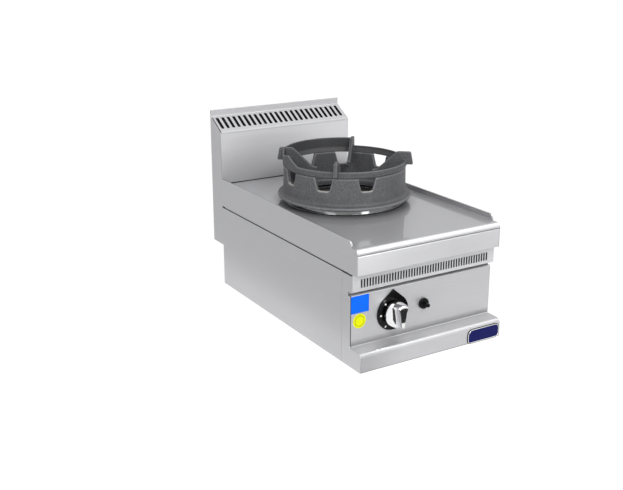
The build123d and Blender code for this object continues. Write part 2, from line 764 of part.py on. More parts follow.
def wok_stand():
    """Cast drum: flared foot with a spigot, upright wall and splayed windows."""
    low = COLLAR_TOP
    spigot_r = COLLAR_INNER_R - LOOSE
    edge_top = low + STAND_FOOT_EDGE
    inner_top = STAND_TOP_R - STAND_WALL
    inner_low = STAND_WAIST_R - STAND_WALL
    drum = turned([
        (STAND_HOLE, low - SPIGOT_DEPTH),
        (spigot_r, low - SPIGOT_DEPTH, 1.5),
        (spigot_r, low),
        (STAND_FOOT_R, low, STAND_FOOT_EDGE / 2.1),
        (STAND_FOOT_R, edge_top, STAND_FOOT_EDGE / 2.1),
        (STAND_WAIST_R, edge_top + 2, STAND_FLARE / 2),
        (STAND_TOP_R, STAND_TOP, 1.5),
        (inner_top, STAND_TOP, 1.5),
        (inner_low, low + STAND_FOOT_THICKNESS, STAND_FLARE / 2),
        (spigot_r - SPIGOT_WALL / 2, low + STAND_FOOT_THICKNESS, 3),
        (STAND_HOLE, low + STAND_FOOT_THICKNESS / 2, 2),
    ])
    step = 360 / STAND_WINDOWS
    places = [index for index in range(STAND_WINDOWS) if index != SOLID_PLACE]
    cutter = window_cutter()
    cuts = [
        Pos(0, BURNER_Y, 0) * Rot(0, 0, WINDOW_TURN + step * index) * cutter
        for index in places
    ]
    return drum - cuts


def window_cutter():
    """Window, wider at the top and towards the outside, pointing along +X."""
    sill = COLLAR_TOP + WINDOW_SILL
    over = STAND_TOP + RING_HEIGHT
    spread = (WINDOW_TOP_WIDTH - WINDOW_LOW_WIDTH) / 2 / (STAND_TOP - sill)

    def face(radius, splay):
        low_half = WINDOW_LOW_WIDTH / 2 + splay
        top_half = low_half + spread * (over - sill + splay)
        section = outline([
            (-low_half, sill - splay, WINDOW_ROUND + splay),
            (low_half, sill - splay, WINDOW_ROUND + splay),
            (top_half, over),
            (-top_half, over),
        ])
        return Plane(origin=(radius, 0, 0), x_dir=(0, 1, 0), z_dir=(1, 0, 0)) * section

    inside = STAND_TOP_R - 3 * STAND_WALL
    break_r = STAND_TOP_R - STAND_WALL / 3
    outside = STAND_FOOT_R + STAND_WALL
    grow = WINDOW_SPLAY * (outside - break_r) / (STAND_WALL / 3)
    straight = extrude(face(inside, 0), amount=outside - inside)
    splayed = loft([face(break_r, 0), face(outside, min(grow, 2.2 * WINDOW_SPLAY))])
    return straight + splayed


def wok_ring():
    """Cast ring with four fingers and a raised guard between two of them."""
    low = STAND_TOP
    ring = turned([
        (RING_FOOT_R, low),
        (RING_OUTER_R - RING_CHAMFER, low),
        (RING_OUTER_R, low + RING_CHAMFER, 1.5),
        (RING_OUTER_R, RING_TOP, 2.4),
        (RING_INNER_R, RING_TOP, 1.5),
        (RING_INNER_R, low + RING_SLANT, 3),
    ])
    return ring + [guard()] + fingers()


def guard():
    """Raised quarter of the ring, with a humped tail beyond its last finger."""
    quarter = 360 / FINGERS
    arc = quarter + GUARD_TAIL
    top = RING_TOP + GUARD_RISE
    section = outline([
        (RING_INNER_R, RING_TOP - RING_HEIGHT / 3),
        (RING_OUTER_R, RING_TOP - RING_HEIGHT / 3),
        (RING_OUTER_R, top, GUARD_ROUND),
        (RING_INNER_R, top, GUARD_ROUND),
    ])
    wall = revolve(Plane.XZ * section, Axis.Z, arc)
    end = radians(arc)
    high, dip, hump = (
        -RING_OUTER_R * sin(end - radians(quarter + turn))
        for turn in (GUARD_END, GUARD_DIP_TURN, GUARD_HUMP_TURN)
    )
    reach = 1.2 * RING_OUTER_R
    low_z = RING_TOP - 1
    facing = Plane(
        origin=(0, 0, 0),
        x_dir=(-sin(end), cos(end), 0),
        z_dir=(cos(end), sin(end), 0),
    )
    above = outline([
        (high, top + GUARD_ROUND),
        (dip, top - GUARD_DIP, GUARD_RISE / 4),
        (hump, top, GUARD_RISE / 3),
        (0, low_z, GUARD_RISE / 3),
        (RING_OUTER_R / 4, low_z),
        (RING_OUTER_R / 4, top + GUARD_ROUND),
    ])
    wall -= extrude(facing * above, amount=reach)
    return Pos(0, BURNER_Y, 0) * Rot(0, 0, FINGER_TURN) * wall


def fingers():
    """Four radial fingers: heel outside the ring, crest above it, slope down to the tip."""
    low = STAND_TOP
    top = RING_TOP + FINGER_RISE
    root_r = STAND_TOP_R - STAND_WALL - LOOSE
    tip_top = low - FINGER_TIP_DROP
    face = outline([
        (FINGER_HEEL_R, low + FINGER_HEEL, 2),
        (FINGER_OUT_R, top, 4),
        (FINGER_CREST_R, top, 8),
        (FINGER_TIP_R + 12, tip_top + 1.5, 10),
        (FINGER_TIP_R, tip_top, 2),
        (FINGER_TIP_R, tip_top - FINGER_TIP_DEPTH, 4),
        (root_r, low - FINGER_ROOT_DEPTH, 3),
        (root_r, low),
        (RING_OUTER_R - RING_CHAMFER, low),
        (RING_OUTER_R, low + FINGER_HEEL, 1),
    ])
    half = FINGER_THICKNESS / 2
    blade = extrude(Plane.XZ * face, amount=half, both=True)
    step = 360 / FINGERS
    return [
        Pos(0, BURNER_Y, 0) * Rot(0, 0, FINGER_TURN + step * index) * blade
        for index in range(FINGERS)
    ]


# Burner

def burner_bowl():
    """Outer form of the burner's bowl and foot, solid."""
    return turned([
        (0, BURNER_BASE),
        (BURNER_FOOT_R, BURNER_BASE, 1.5),
        (BURNER_FOOT_R, BURNER_BASE + 6, 3),
        (BURNER_R, MIX_HEIGHT + MIX_R, 12),
        (BURNER_R, BURNER_TOP),
        (0, BURNER_TOP),
    ])


def burner_body():
    """Cast bowl with a foot and a mixing tube that ends in an air cage."""
    inside = turned([
        (0, BURNER_BASE + 2 * BURNER_WALL),
        (BURNER_R - BURNER_WALL, MIX_HEIGHT + MIX_R / 2, 14),
        (BURNER_R - BURNER_WALL, BURNER_TOP),
        (0, BURNER_TOP),
    ])
    bowl = burner_bowl() - inside
    tube = mixing_tube(MIX_R, MIX_THROAT_R, MIX_MOUTH_R)
    bore = mixing_tube(MIX_R - MIX_WALL, MIX_THROAT_R - MIX_WALL, MIX_MOUTH_R - MIX_WALL)
    tube -= inside
    cage = rod(MIX_MOUTH_R, (0, CAGE_Y, MIX_HEIGHT), (0, CAGE_Y + CAGE_LENGTH, MIX_HEIGHT))
    cage_bore = rod(
        MIX_MOUTH_R - MIX_WALL,
        (0, CAGE_Y + CAGE_END, MIX_HEIGHT),
        (0, CAGE_Y + CAGE_LENGTH, MIX_HEIGHT),
    )
    nose_hole = rod(HOLDER_R + RUNNING, (0, CAGE_Y - 1, MIX_HEIGHT), (0, CAGE_Y + CAGE_END + 1, MIX_HEIGHT))
    middle = CAGE_Y + SHUTTER_SETBACK + SHUTTER_LENGTH / 2
    windows = air_windows(MIX_MOUTH_R + 1, middle)
    return bowl + tube + cage - bore - cage_bore - nose_hole - windows


def mixing_tube(start_r, throat_r, mouth_r):
    """Tube that narrows to a throat and widens to its mouth, towards the front."""
    section = outline([
        (0, 0),
        (start_r, 0),
        (throat_r, MIX_THROAT, 40),
        (mouth_r, MIX_MOUTH),
        (0, MIX_MOUTH),
    ])
    solid = revolve(Plane.XY * section, Axis.Y)
    return Pos(0, BURNER_Y, MIX_HEIGHT) * Rot(0, 0, 180) * solid


def air_windows(radius, middle):
    """Two cutters on opposite sides of the mixing tube's axis."""
    reach = radius + 10
    half = radians(AIR_WINDOW_HALF)
    wedge = outline([(0, 0), (reach, -reach * tan(half)), (reach, reach * tan(half))])
    solid = extrude(Plane.XZ * wedge, amount=AIR_WINDOW / 2, both=True)
    core = rod(MIX_MOUTH_R - MIX_WALL - 2, (0, -AIR_WINDOW, 0), (0, AIR_WINDOW, 0))
    solid -= core
    return [Pos(0, middle, MIX_HEIGHT) * Rot(0, turn, 0) * solid for turn in (0, 180)]


def burner_cap():
    """Crown with a ring of slanted ports and a spigot in the burner body."""
    low = BURNER_TOP
    spigot_r = BURNER_R - BURNER_WALL - LOOSE
    wall = BURNER_WALL
    cap = turned([
        (spigot_r - wall, low - CAP_SPIGOT),
        (spigot_r, low - CAP_SPIGOT),
        (spigot_r, low),
        (CAP_R, low, 1.5),
        (CAP_R, low + CAP_HEIGHT / 2, 3),
        (CAP_R - 12, low + CAP_HEIGHT, 3),
        (0, low + CAP_HEIGHT - 4),
        (0, low + CAP_HEIGHT - 4 - wall),
        (spigot_r - wall, low + CAP_HEIGHT / 2, 3),
    ])
    port = Pos(CAP_R - 8, 0, low + CAP_HEIGHT * 0.6) * Rot(0, 60, 0) * Cylinder(CAP_PORT_R, 40)
    step = 360 / CAP_PORTS
    ports = [Pos(0, BURNER_Y, 0) * Rot(0, 0, step * index) * port for index in range(CAP_PORTS)]
    return cap - ports


def air_shutter():
    """Sleeve with two windows that turns on the air cage."""
    start = CAGE_Y + SHUTTER_SETBACK
    end = start + SHUTTER_LENGTH
    bore_r = MIX_MOUTH_R + RUNNING
    sleeve = rod(bore_r + SHUTTER_WALL, (0, start, MIX_HEIGHT), (0, end, MIX_HEIGHT))
    sleeve -= rod(bore_r, (0, start - 1, MIX_HEIGHT), (0, end + 1, MIX_HEIGHT))
    return sleeve - air_windows(bore_r + SHUTTER_WALL, (start + end) / 2)


def injector_holder():
    """Brass block ahead of the air cage, with a shank through its end plate."""
    half = HOLDER_BLOCK / 2
    front = CAGE_Y - HOLDER_BLOCK
    block = box((-half, half), (front, CAGE_Y), (MIX_HEIGHT - half, MIX_HEIGHT + half))
    block = chamfer(block.edges().filter_by(Axis.Y), 3)
    tip = CAGE_Y + CAGE_END + HOLDER_SHANK
    shank = rod(HOLDER_R, (0, CAGE_Y, MIX_HEIGHT), (0, tip, MIX_HEIGHT))
    return block + shank


def injector():
    """Drilled brass jet on the holder's shank."""
    start = CAGE_Y + CAGE_END + HOLDER_SHANK
    jet = rod(INJECTOR_R, (0, start, MIX_HEIGHT), (0, start + INJECTOR_LENGTH, MIX_HEIGHT))
    bore = rod(INJECTOR_BORE_R, (0, start, MIX_HEIGHT), (0, start + INJECTOR_LENGTH, MIX_HEIGHT))
    return jet - bore


def burner_bracket():
    """Folded strip between the rails that carries the burner."""
    end = INNER - FRAME_SHEET - BEND - JOINT
    low = BURNER_BASE - BRACKET_SHEET
    upper = INNER - RAIL_WIDTH - BRACKET_INSET
    path = [
        (-end, RAIL_FLOOR),
        (-upper, RAIL_FLOOR),
        (BRACKET_LEG - upper, low),
        (upper - BRACKET_LEG, low),
        (upper, RAIL_FLOOR),
        (end, RAIL_FLOOR),
    ]
    strip = extrude(Plane.XZ * sheet_section(path, BRACKET_SHEET), amount=BRACKET_WIDTH / 2, both=True)
    strip = Pos(0, BURNER_Y, 0) * strip
    return strip - [place * Cylinder(SCREW_R, 6 * BRACKET_SHEET) for place in burner_screw_places()]


def burner_screw_places():
    """Two screws through the bracket, up into the burner's foot."""
    return [Pos(side * BURNER_FOOT_R * 0.6, BURNER_Y, BURNER_BASE) for side in (-1, 1)]


# Controls

def knob_bezel():
    """Teardrop plate: a disc drawn out to a tip above the knob."""
    lean = acos(BEZEL_R / BEZEL_TIP)
    tangent = (BEZEL_R * sin(lean), BEZEL_R * cos(lean))
    disc = Circle(BEZEL_R)
    drop = Polygon((0, BEZEL_TIP), (-tangent[0], tangent[1]), (tangent[0], tangent[1]), align=None)
    solid = extrude(disc + drop, amount=BEZEL_THICKNESS)
    solid = chamfer(solid.faces().sort_by(Axis.Z)[-1].edges(), BEZEL_EDGE)
    solid -= Cylinder(VALVE_NECK_R + NUT_CLEAR, 4 * BEZEL_THICKNESS)
    heads = [
        Pos(side * VALVE_SCREW_SPACING / 2, 0, 0) * Cylinder(SCREW_HEAD_R + NUT_CLEAR, 2 * (SCREW_HEAD + NUT_CLEAR))
        for side in (-1, 1)
    ]
    return Pos(KNOB_X, PANEL_Y, KNOB_Z) * Rot(90, 0, 0) * (solid - heads)


def knob():
    """Turned knob with a finger grip left between two scoops."""
    depth = KNOB_DEPTH
    body = revolve(Plane.XZ * outline([
        (0, 0),
        (KNOB_BASE_R, 0, 1),
        (KNOB_R, KNOB_SKIRT / 2, 3),
        (KNOB_R, KNOB_SKIRT, 2),
        (GRIP_FRONT_R, depth, 5),
        (0, depth),
    ]), Axis.Z)
    scoop_x = GRIP_WIDTH / 2 + SCOOP_R
    scoop = Pos(scoop_x, 0, KNOB_SKIRT + SCOOP_R) * Rot(90, 0, 0) * Cylinder(SCOOP_R, 4 * KNOB_R)
    lean = (GRIP_WIDTH - GRIP_FRONT_WIDTH) / 2
    above = Polygon(
        (GRIP_WIDTH / 2, KNOB_SKIRT + SCOOP_R),
        (GRIP_WIDTH / 2 - lean, depth + 1),
        (2 * KNOB_R, depth + 1),
        (2 * KNOB_R, KNOB_SKIRT + SCOOP_R),
        align=None,
    )
    side_cut = Rot(0, 0, -GRIP_TAPER) * (scoop + extrude(Plane.XZ * above, amount=2 * KNOB_R, both=True))
    body = body - side_cut - mirror(side_cut, Plane.YZ)
    socket = Pos(0, 0, SPINDLE_SOCKET / 2) * Cylinder(SPINDLE_R, SPINDLE_SOCKET)
    socket -= box((SPINDLE_R - SPINDLE_FLAT, 2 * SPINDLE_R), (-SPINDLE_R, SPINDLE_R), (0, SPINDLE_SOCKET))
    return Pos(KNOB_X, KNOB_BACK, KNOB_Z) * Rot(90, 0, 0) * (body - socket)


def valve_spindle():
    """Spindle with a flat, from the valve's chamber into the knob."""
    end = VALVE_FRONT + CHAMBER_LENGTH - KNOB_TRAVEL - JOINT
    tip = KNOB_BACK - SPINDLE_SOCKET
    shaft = rod(SPINDLE_R, (KNOB_X, tip, KNOB_Z), (KNOB_X, end, KNOB_Z))
    flat = box(
        (KNOB_X + SPINDLE_R - SPINDLE_FLAT, KNOB_X + 2 * SPINDLE_R),
        (tip, KNOB_BACK),
        (KNOB_Z - SPINDLE_R, KNOB_Z + SPINDLE_R),
    )
    return shaft - flat


def valve_plunger():
    """Ring that the spindle pushes into the valve's chamber."""
    end = VALVE_FRONT + CHAMBER_LENGTH - KNOB_TRAVEL - JOINT
    start = end - PLUNGER_LENGTH
    ring = rod(PLUNGER_R, (KNOB_X, start, KNOB_Z), (KNOB_X, end, KNOB_Z))
    return ring - rod(SPINDLE_R + RUNNING, (KNOB_X, start - 1, KNOB_Z), (KNOB_X, end + 1, KNOB_Z))


def gas_valve():
    """Valve body with its plate behind the panel, its chamber and two port bosses."""
    back = VALVE_FRONT + VALVE_LENGTH
    half = VALVE_PLATE / 2
    body = box(
        (KNOB_X - half, KNOB_X + half),
        (PANEL_BACK, VALVE_FRONT),
        (KNOB_Z - VALVE_NECK_R - 3, KNOB_Z + VALVE_NECK_R + 3),
    )
    body += rod(VALVE_R, (KNOB_X, VALVE_FRONT, KNOB_Z), (KNOB_X, back, KNOB_Z))
    body += rod(VALVE_NECK_R, (KNOB_X, PANEL_Y - BEZEL_THICKNESS / 2, KNOB_Z), (KNOB_X, PANEL_BACK, KNOB_Z))
    for sign, radius in ((-1, SUPPLY_R + 2), (1, BURNER_PIPE_R + 3)):
        end = KNOB_Z + sign * (VALVE_R + PORT_BOSS)
        body += rod(radius, (KNOB_X, PORT_Y, KNOB_Z), (KNOB_X, PORT_Y, end))
    neck = rod(SPINDLE_R + RUNNING, (KNOB_X, FRONT, KNOB_Z), (KNOB_X, VALVE_FRONT, KNOB_Z))
    chamber = rod(CHAMBER_R, (KNOB_X, VALVE_FRONT, KNOB_Z), (KNOB_X, VALVE_FRONT + CHAMBER_LENGTH, KNOB_Z))
    screws = [
        Pos(x, PANEL_BACK, KNOB_Z) * Rot(90, 0, 0) * Cylinder(SCREW_R, 4 * VALVE_PLATE_THICKNESS)
        for x in valve_screw_places()
    ]
    return body - neck - chamber - screws


def igniter_body():
    """Flange on the panel, neck through it and housing behind."""
    axis = (IGNITER_X, IGNITER_Z)
    front = PANEL_Y - IGNITER_FLANGE
    flange = along_y(axis, IGNITER_R, front, PANEL_Y)
    flange = fillet(flange.edges().filter_by(GeomType.CIRCLE).sort_by(Axis.Y)[0], 1.5)
    neck = along_y(axis, IGNITER_NECK_R, PANEL_Y, PANEL_BACK + IGNITER_NUT)
    housing = along_y(axis, IGNITER_BODY_R, PANEL_BACK + IGNITER_NUT, PANEL_Y + IGNITER_LENGTH)
    stem_end = button_end() + BUTTON_TRAVEL + JOINT
    bore = along_y(axis, BUTTON_R + RUNNING, front - 1, stem_end)
    shoulder_room = along_y(
        axis,
        BUTTON_SHOULDER_R + JOINT,
        button_end() - BUTTON_SHOULDER - JOINT,
        stem_end,
    )
    return flange + neck + housing - bore - shoulder_room


def along_y(axis, radius, start, end):
    """Round bar along Y at (x, z)."""
    return rod(radius, (axis[0], start, axis[1]), (axis[0], end, axis[1]))


def button_end():
    """Rear end of the igniter button at rest."""
    return PANEL_Y - BUTTON_REACH + BUTTON_STEM


def igniter_button():
    """Push button with a rounded tip and a shoulder that keeps it in the housing."""
    axis = (IGNITER_X, IGNITER_Z)
    tip = PANEL_Y - BUTTON_REACH
    stem = along_y(axis, BUTTON_R, tip, button_end())
    stem = fillet(stem.edges().filter_by(GeomType.CIRCLE).sort_by(Axis.Y)[0], 1.5)
    return stem + along_y(axis, BUTTON_SHOULDER_R, button_end() - BUTTON_SHOULDER, button_end())


def igniter_nut():
    """Hexagon nut that clamps the igniter behind the panel."""
    hexagon = extrude(RegularPolygon(IGNITER_NUT_R, 6), amount=IGNITER_NUT)
    hexagon -= Pos(0, 0, IGNITER_NUT / 2) * Cylinder(IGNITER_NECK_R, 2 * IGNITER_NUT)
    return Pos(IGNITER_X, PANEL_BACK + IGNITER_NUT, IGNITER_Z) * Rot(90, 0, 0) * hexagon


# Gas line and pilot

def inlet_nipple():
    """Threaded nipple through the rear panel, with a flange on each face."""
    axis = (INLET_X, SUPPLY_Z)
    inside = BODY_BACK - SHEET - INLET_FLANGE
    nipple = along_y(axis, INLET_R, BODY_BACK - SHEET, BODY_BACK + INLET_FLANGE + INLET_REACH)
    nipple += along_y(axis, INLET_FLANGE_R, BODY_BACK, BODY_BACK + INLET_FLANGE)
    nipple += along_y(axis, INLET_FLANGE_R, inside, BODY_BACK - SHEET)
    return nipple - along_y(axis, SUPPLY_R - 2, inside - 1, BODY_BACK + INLET_FLANGE + INLET_REACH + 1)


def supply_pipe():
    """Pipe from the nipple along the right side and across to the valve's lower port."""
    valve_port = KNOB_Z - VALVE_R - PORT_BOSS
    return pipe(SUPPLY_R, [
        (INLET_X, BODY_BACK - SHEET - INLET_FLANGE, SUPPLY_Z),
        (INLET_X, PORT_Y, SUPPLY_Z),
        (KNOB_X, PORT_Y, SUPPLY_Z),
        (KNOB_X, PORT_Y, valve_port),
    ])


def burner_pipe():
    """Pipe from the valve's upper port to the injector holder."""
    return pipe(BURNER_PIPE_R, [
        (KNOB_X, PORT_Y, KNOB_Z + VALVE_R + PORT_BOSS),
        (KNOB_X, PORT_Y, MIX_HEIGHT - 30),
        (KNOB_X, CAGE_Y - HOLDER_BLOCK / 2, MIX_HEIGHT),
        (-HOLDER_BLOCK / 2, CAGE_Y - HOLDER_BLOCK / 2, MIX_HEIGHT),
    ])


def pilot_bracket():
    """Shelf on the burner's wall that carries the pilot group."""
    inner = BURNER_FOOT_R
    outer = PILOT_R + 8
    width = 2 * (PILOT_SPREAD + 6)
    shelf = pilot_place((inner + outer) / 2) * Pos(0, 0, PILOT_SHELF + PILOT_SHELF_SHEET / 2)
    shelf = shelf * Box(outer - inner, width, PILOT_SHELF_SHEET)
    holes = [
        pilot_place(PILOT_R, offset) * Pos(0, 0, PILOT_SHELF) * Cylinder(radius, 4 * PILOT_SHELF_SHEET)
        for offset, radius in pilot_pieces()
    ]
    return shelf - burner_bowl() - holes


def pilot_pieces():
    """Offset and radius of the three pieces on the shelf."""
    return ((0, PILOT_BODY_R), (-PILOT_SPREAD, PROBE_R), (PILOT_SPREAD, ELECTRODE_R))


def upright(offset, radius, low, high):
    """Upright bar of the pilot group."""
    return pilot_place(PILOT_R, offset) * Pos(0, 0, (low + high) / 2) * Cylinder(radius, high - low)


def pilot_burner():
    """Pilot burner: body, slotted hood and inlet stub."""
    top = PILOT_SHELF + PILOT_REACH
    body = upright(0, PILOT_BODY_R, PILOT_SHELF - 8, top)
    bore = upright(0, PILOT_BODY_R - 1.5, top - 10, top + 1)
    return body - bore


def thermocouple():
    """Flame probe in the shelf."""
    return upright(-PILOT_SPREAD, PROBE_R, PILOT_SHELF - 12, PILOT_SHELF + PROBE_REACH)


def spark_electrode():
    """Ceramic body with a metal pin."""
    top = PILOT_SHELF + ELECTRODE_REACH
    body = upright(PILOT_SPREAD, ELECTRODE_R, PILOT_SHELF - 12, top)
    return body + upright(PILOT_SPREAD, ELECTRODE_PIN_R, top, top + ELECTRODE_PIN)


def pilot_point(offset, z):
    """Centre of a pilot piece at a height."""
    turn = radians(PILOT_TURN)
    x = PILOT_R * cos(turn) - offset * sin(turn)
    y = BURNER_Y + PILOT_R * sin(turn) + offset * cos(turn)
    return (x, y, z)


def pilot_pipe():
    """Thin pipe from the valve's rear end to the pilot burner."""
    end = pilot_point(0, PILOT_SHELF - 8)
    back = VALVE_FRONT + VALVE_LENGTH
    return pipe(PILOT_PIPE_R, [
        (KNOB_X, back, KNOB_Z + 8),
        (KNOB_X, end[1], KNOB_Z + 8),
        (end[0], end[1], KNOB_Z + 30),
        end,
    ])


def thermocouple_lead():
    """Capillary from the flame probe to the valve."""
    end = pilot_point(-PILOT_SPREAD, PILOT_SHELF - 12)
    back = VALVE_FRONT + VALVE_LENGTH
    return pipe(PROBE_R / 2, [
        (KNOB_X - 8, back, KNOB_Z),
        (KNOB_X - 8, end[1], KNOB_Z),
        (end[0], end[1], KNOB_Z + 25),
        end,
    ])


def ignition_lead():
    """Insulated lead from the igniter to the electrode."""
    end = pilot_point(PILOT_SPREAD, PILOT_SHELF - 12)
    start = PANEL_Y + IGNITER_LENGTH
    return pipe(ELECTRODE_R / 2, [
        (IGNITER_X, start, IGNITER_Z),
        (IGNITER_X, end[1], IGNITER_Z),
        (end[0], end[1], IGNITER_Z + 30),
        end,
    ])


# Screws

def screw(length):
    """Cap screw along +Z with its head below the origin."""
    shank = Pos(0, 0, length / 2) * Cylinder(SCREW_R, length)
    return shank + Pos(0, 0, -SCREW_HEAD / 2) * Cylinder(SCREW_HEAD_R, SCREW_HEAD)


def rear_screws():
    """Screws of the rear panel."""
    one = Rot(90, 0, 0) * screw(SHEET)
    return [Pos(x, BODY_BACK, z) * one for x, z in rear_screw_places()]


def valve_screws():
    """Two screws that clamp the valve's plate to the panel, under the bezel."""
    one = Rot(-90, 0, 0) * screw(SHEET + VALVE_PLATE_THICKNESS)
    return [Pos(x, PANEL_Y, KNOB_Z) * one for x in valve_screw_places()]


def burner_screws():
    """Two screws that hold the burner on its bracket."""
    one = screw(BRACKET_SHEET)
    return [Pos(0, 0, -BRACKET_SHEET) * place * one for place in burner_screw_places()]


def pieces():
    """Every node by name."""
    right = {
        "side_panel": side_panel(),
        "front_cheek": front_cheek(),
        "side_rail": side_rail(),
        "skirt": skirt(),
        "flue_side": flue_side(),
    }
    nodes = {"right_" + name: solid for name, solid in right.items()}
    nodes.update({"left_" + name: mirrored(solid) for name, solid in right.items()})
    for make in (
        base_tray, rear_panel, control_panel, vent_grille, front_fascia, front_rail,
        worktop, hob_collar, drip_bowl,
        splashback, flue_back, flue_bottom, flue_duct,
        wok_stand, wok_ring,
        burner_body, burner_cap, air_shutter, injector_holder, injector, burner_bracket,
        knob_bezel, knob, valve_spindle, valve_plunger, gas_valve,
        igniter_body, igniter_button, igniter_nut,
        inlet_nipple, supply_pipe, burner_pipe,
        pilot_bracket, pilot_burner, thermocouple, spark_electrode,
        pilot_pipe, thermocouple_lead, ignition_lead,
        rear_screws, valve_screws, burner_screws,
    ):
        nodes[make.__name__] = make()
    return nodes


def main():
    """Write one STEP file for each node."""
    os.makedirs("parts", exist_ok=True)
    for name, shape in pieces().items():
        solids = shape if isinstance(shape, list) else shape.solids()
        export_step(Compound(children=list(solids)), f"parts/{name}.step")


if __name__ == "__main__":
    main()
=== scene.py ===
"""Wok range: looks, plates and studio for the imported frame.

Laid out as an add-on and run as a script. Every piece is in metres, in the row's frame:
+Z up, the front faces -Y, and the origin is the middle of the footprint.
"""
import json
import math

import bmesh
import bpy
import numpy as np
from mathutils import Matrix, Vector

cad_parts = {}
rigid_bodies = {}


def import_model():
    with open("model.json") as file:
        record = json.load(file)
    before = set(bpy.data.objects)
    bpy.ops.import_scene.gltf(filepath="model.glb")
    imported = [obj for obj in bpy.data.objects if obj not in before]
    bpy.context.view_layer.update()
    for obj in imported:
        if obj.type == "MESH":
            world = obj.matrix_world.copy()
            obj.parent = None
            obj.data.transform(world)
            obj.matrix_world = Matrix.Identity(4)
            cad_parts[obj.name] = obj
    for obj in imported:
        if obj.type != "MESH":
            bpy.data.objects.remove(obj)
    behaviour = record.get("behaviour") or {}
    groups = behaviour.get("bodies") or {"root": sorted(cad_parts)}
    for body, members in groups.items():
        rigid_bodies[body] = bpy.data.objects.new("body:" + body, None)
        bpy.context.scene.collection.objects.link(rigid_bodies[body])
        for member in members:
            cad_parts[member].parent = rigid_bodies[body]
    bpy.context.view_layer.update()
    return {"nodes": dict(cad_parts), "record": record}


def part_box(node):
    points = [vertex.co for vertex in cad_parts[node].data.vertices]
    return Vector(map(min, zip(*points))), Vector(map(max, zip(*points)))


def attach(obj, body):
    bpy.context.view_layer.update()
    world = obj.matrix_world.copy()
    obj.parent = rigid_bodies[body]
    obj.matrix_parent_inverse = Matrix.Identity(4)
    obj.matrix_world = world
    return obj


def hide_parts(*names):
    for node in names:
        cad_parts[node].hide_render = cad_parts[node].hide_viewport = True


bl_info = {
    "name": "Wok range",
    "version": (1, 0, 0),
    "blender": (4, 5, 0),
    "location": "3D View > Sidebar > Wok range",
    "description": "Dresses the packed wok range in its finishes and sets its studio",
    "category": "Add Mesh",
}

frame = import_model()
NODES = frame["nodes"]
BODY_OF = {node: body for body, nodes in frame["record"]["behaviour"]["bodies"].items() for node in nodes}
TAU = 2 * math.pi
MM = 0.001
FRONT, BACK = (0, -1, 0), (0, 1, 0)

# Pieces by finish
SHELL = ("left_side_panel", "right_side_panel", "left_front_cheek", "right_front_cheek", "left_skirt",
         "right_skirt", "left_flue_side", "right_flue_side")
BACK_AND_FRAME = ("base_tray", "rear_panel", "flue_back", "flue_bottom", "flue_duct", "front_rail",
                  "left_side_rail", "right_side_rail", "burner_bracket")
BURNER_STEEL = ("air_shutter", "pilot_bracket", "supply_pipe", "burner_pipe", "thermocouple")
BRASS = ("gas_valve", "valve_spindle", "valve_plunger", "injector_holder", "injector", "pilot_burner")
COPPER = ("pilot_pipe", "thermocouple_lead")


# Sizes and colours that a user would change

def length(name, description, default):
    """A length property with its name, meaning and default."""
    return bpy.props.FloatProperty(name=name, description=description, default=default, unit="LENGTH")


class RangeSizes(bpy.types.PropertyGroup):
    """Sizes of the pieces that only the looks have."""
    sheet_edge: length("Sheet edge", "Softened width of a cut sheet edge", 0.35 * MM)
    cast_grain: length("Cast grain", "Size of the sand grain on the castings", 1.9 * MM)
    stand_voxel: length("Stand voxel", "Mesh size of the wok stand's casting", 1.9 * MM)
    ring_voxel: length("Ring voxel", "Mesh size of the wok ring's casting", 1.25 * MM)
    plate_thickness: length("Plate thickness", "Thickness of the stuck-on plates", 0.4 * MM)
    badge_rise: length("Badge rise", "Height of the domed badge", 2.2 * MM)
    thread_pitch: length("Thread pitch", "Pitch of the gas inlet's pipe thread", 1.814 * MM)
    thread_depth: length("Thread depth", "Depth of the gas inlet's pipe thread", 1.16 * MM)


def colour(name, description, default):
    """A colour property with its name, meaning and default."""
    return bpy.props.FloatVectorProperty(
        name=name, description=description, default=default, size=3, min=0, max=1, subtype="COLOR")


class RangeColours(bpy.types.PropertyGroup):
    """Colours of the finishes, in linear light."""
    casing: colour("Casing", "Satin stainless sheet of the casing", (0.57, 0.57, 0.585))
    # Darker than the casing's same steel: painted shade on the hob's top.
    hob: colour("Hob", "Fine-ground stainless sheet of the hob", (0.45, 0.45, 0.47))
    chrome: colour("Chrome", "Polished and plated metal", (0.74, 0.74, 0.75))
    iron: colour("Iron", "Coated cast iron", (0.089, 0.090, 0.095))
    enamel: colour("Enamel", "Gloss black of the bezel", (0.004, 0.004, 0.004))
    plastic: colour("Plastic", "Moulded black plastic", (0.006, 0.006, 0.006))
    brass: colour("Brass", "Machined brass", (0.70, 0.50, 0.22))
    copper: colour("Copper", "Drawn copper tube", (0.72, 0.36, 0.22))
    blue: colour("Blue plate", "Blue adhesive plate", (0.0, 0.155, 0.95))
    yellow: colour("Yellow plate", "Round yellow adhesive plate", (0.84, 0.88, 0.0))
    navy: colour("Badge", "Enamelled field of the badge", (0.004, 0.006, 0.105))
    bowl: colour("Drip bowl", "Dark stove enamel of the drip bowl", (0.07, 0.07, 0.072))
    floor: colour("Floor", "Studio floor", (0.85, 0.85, 0.85))


def sizes():
    """The scene's sizes."""
    return bpy.context.scene.wok_range_sizes


def colours():
    """The scene's colours."""
    return bpy.context.scene.wok_range_colours


# Shader maths

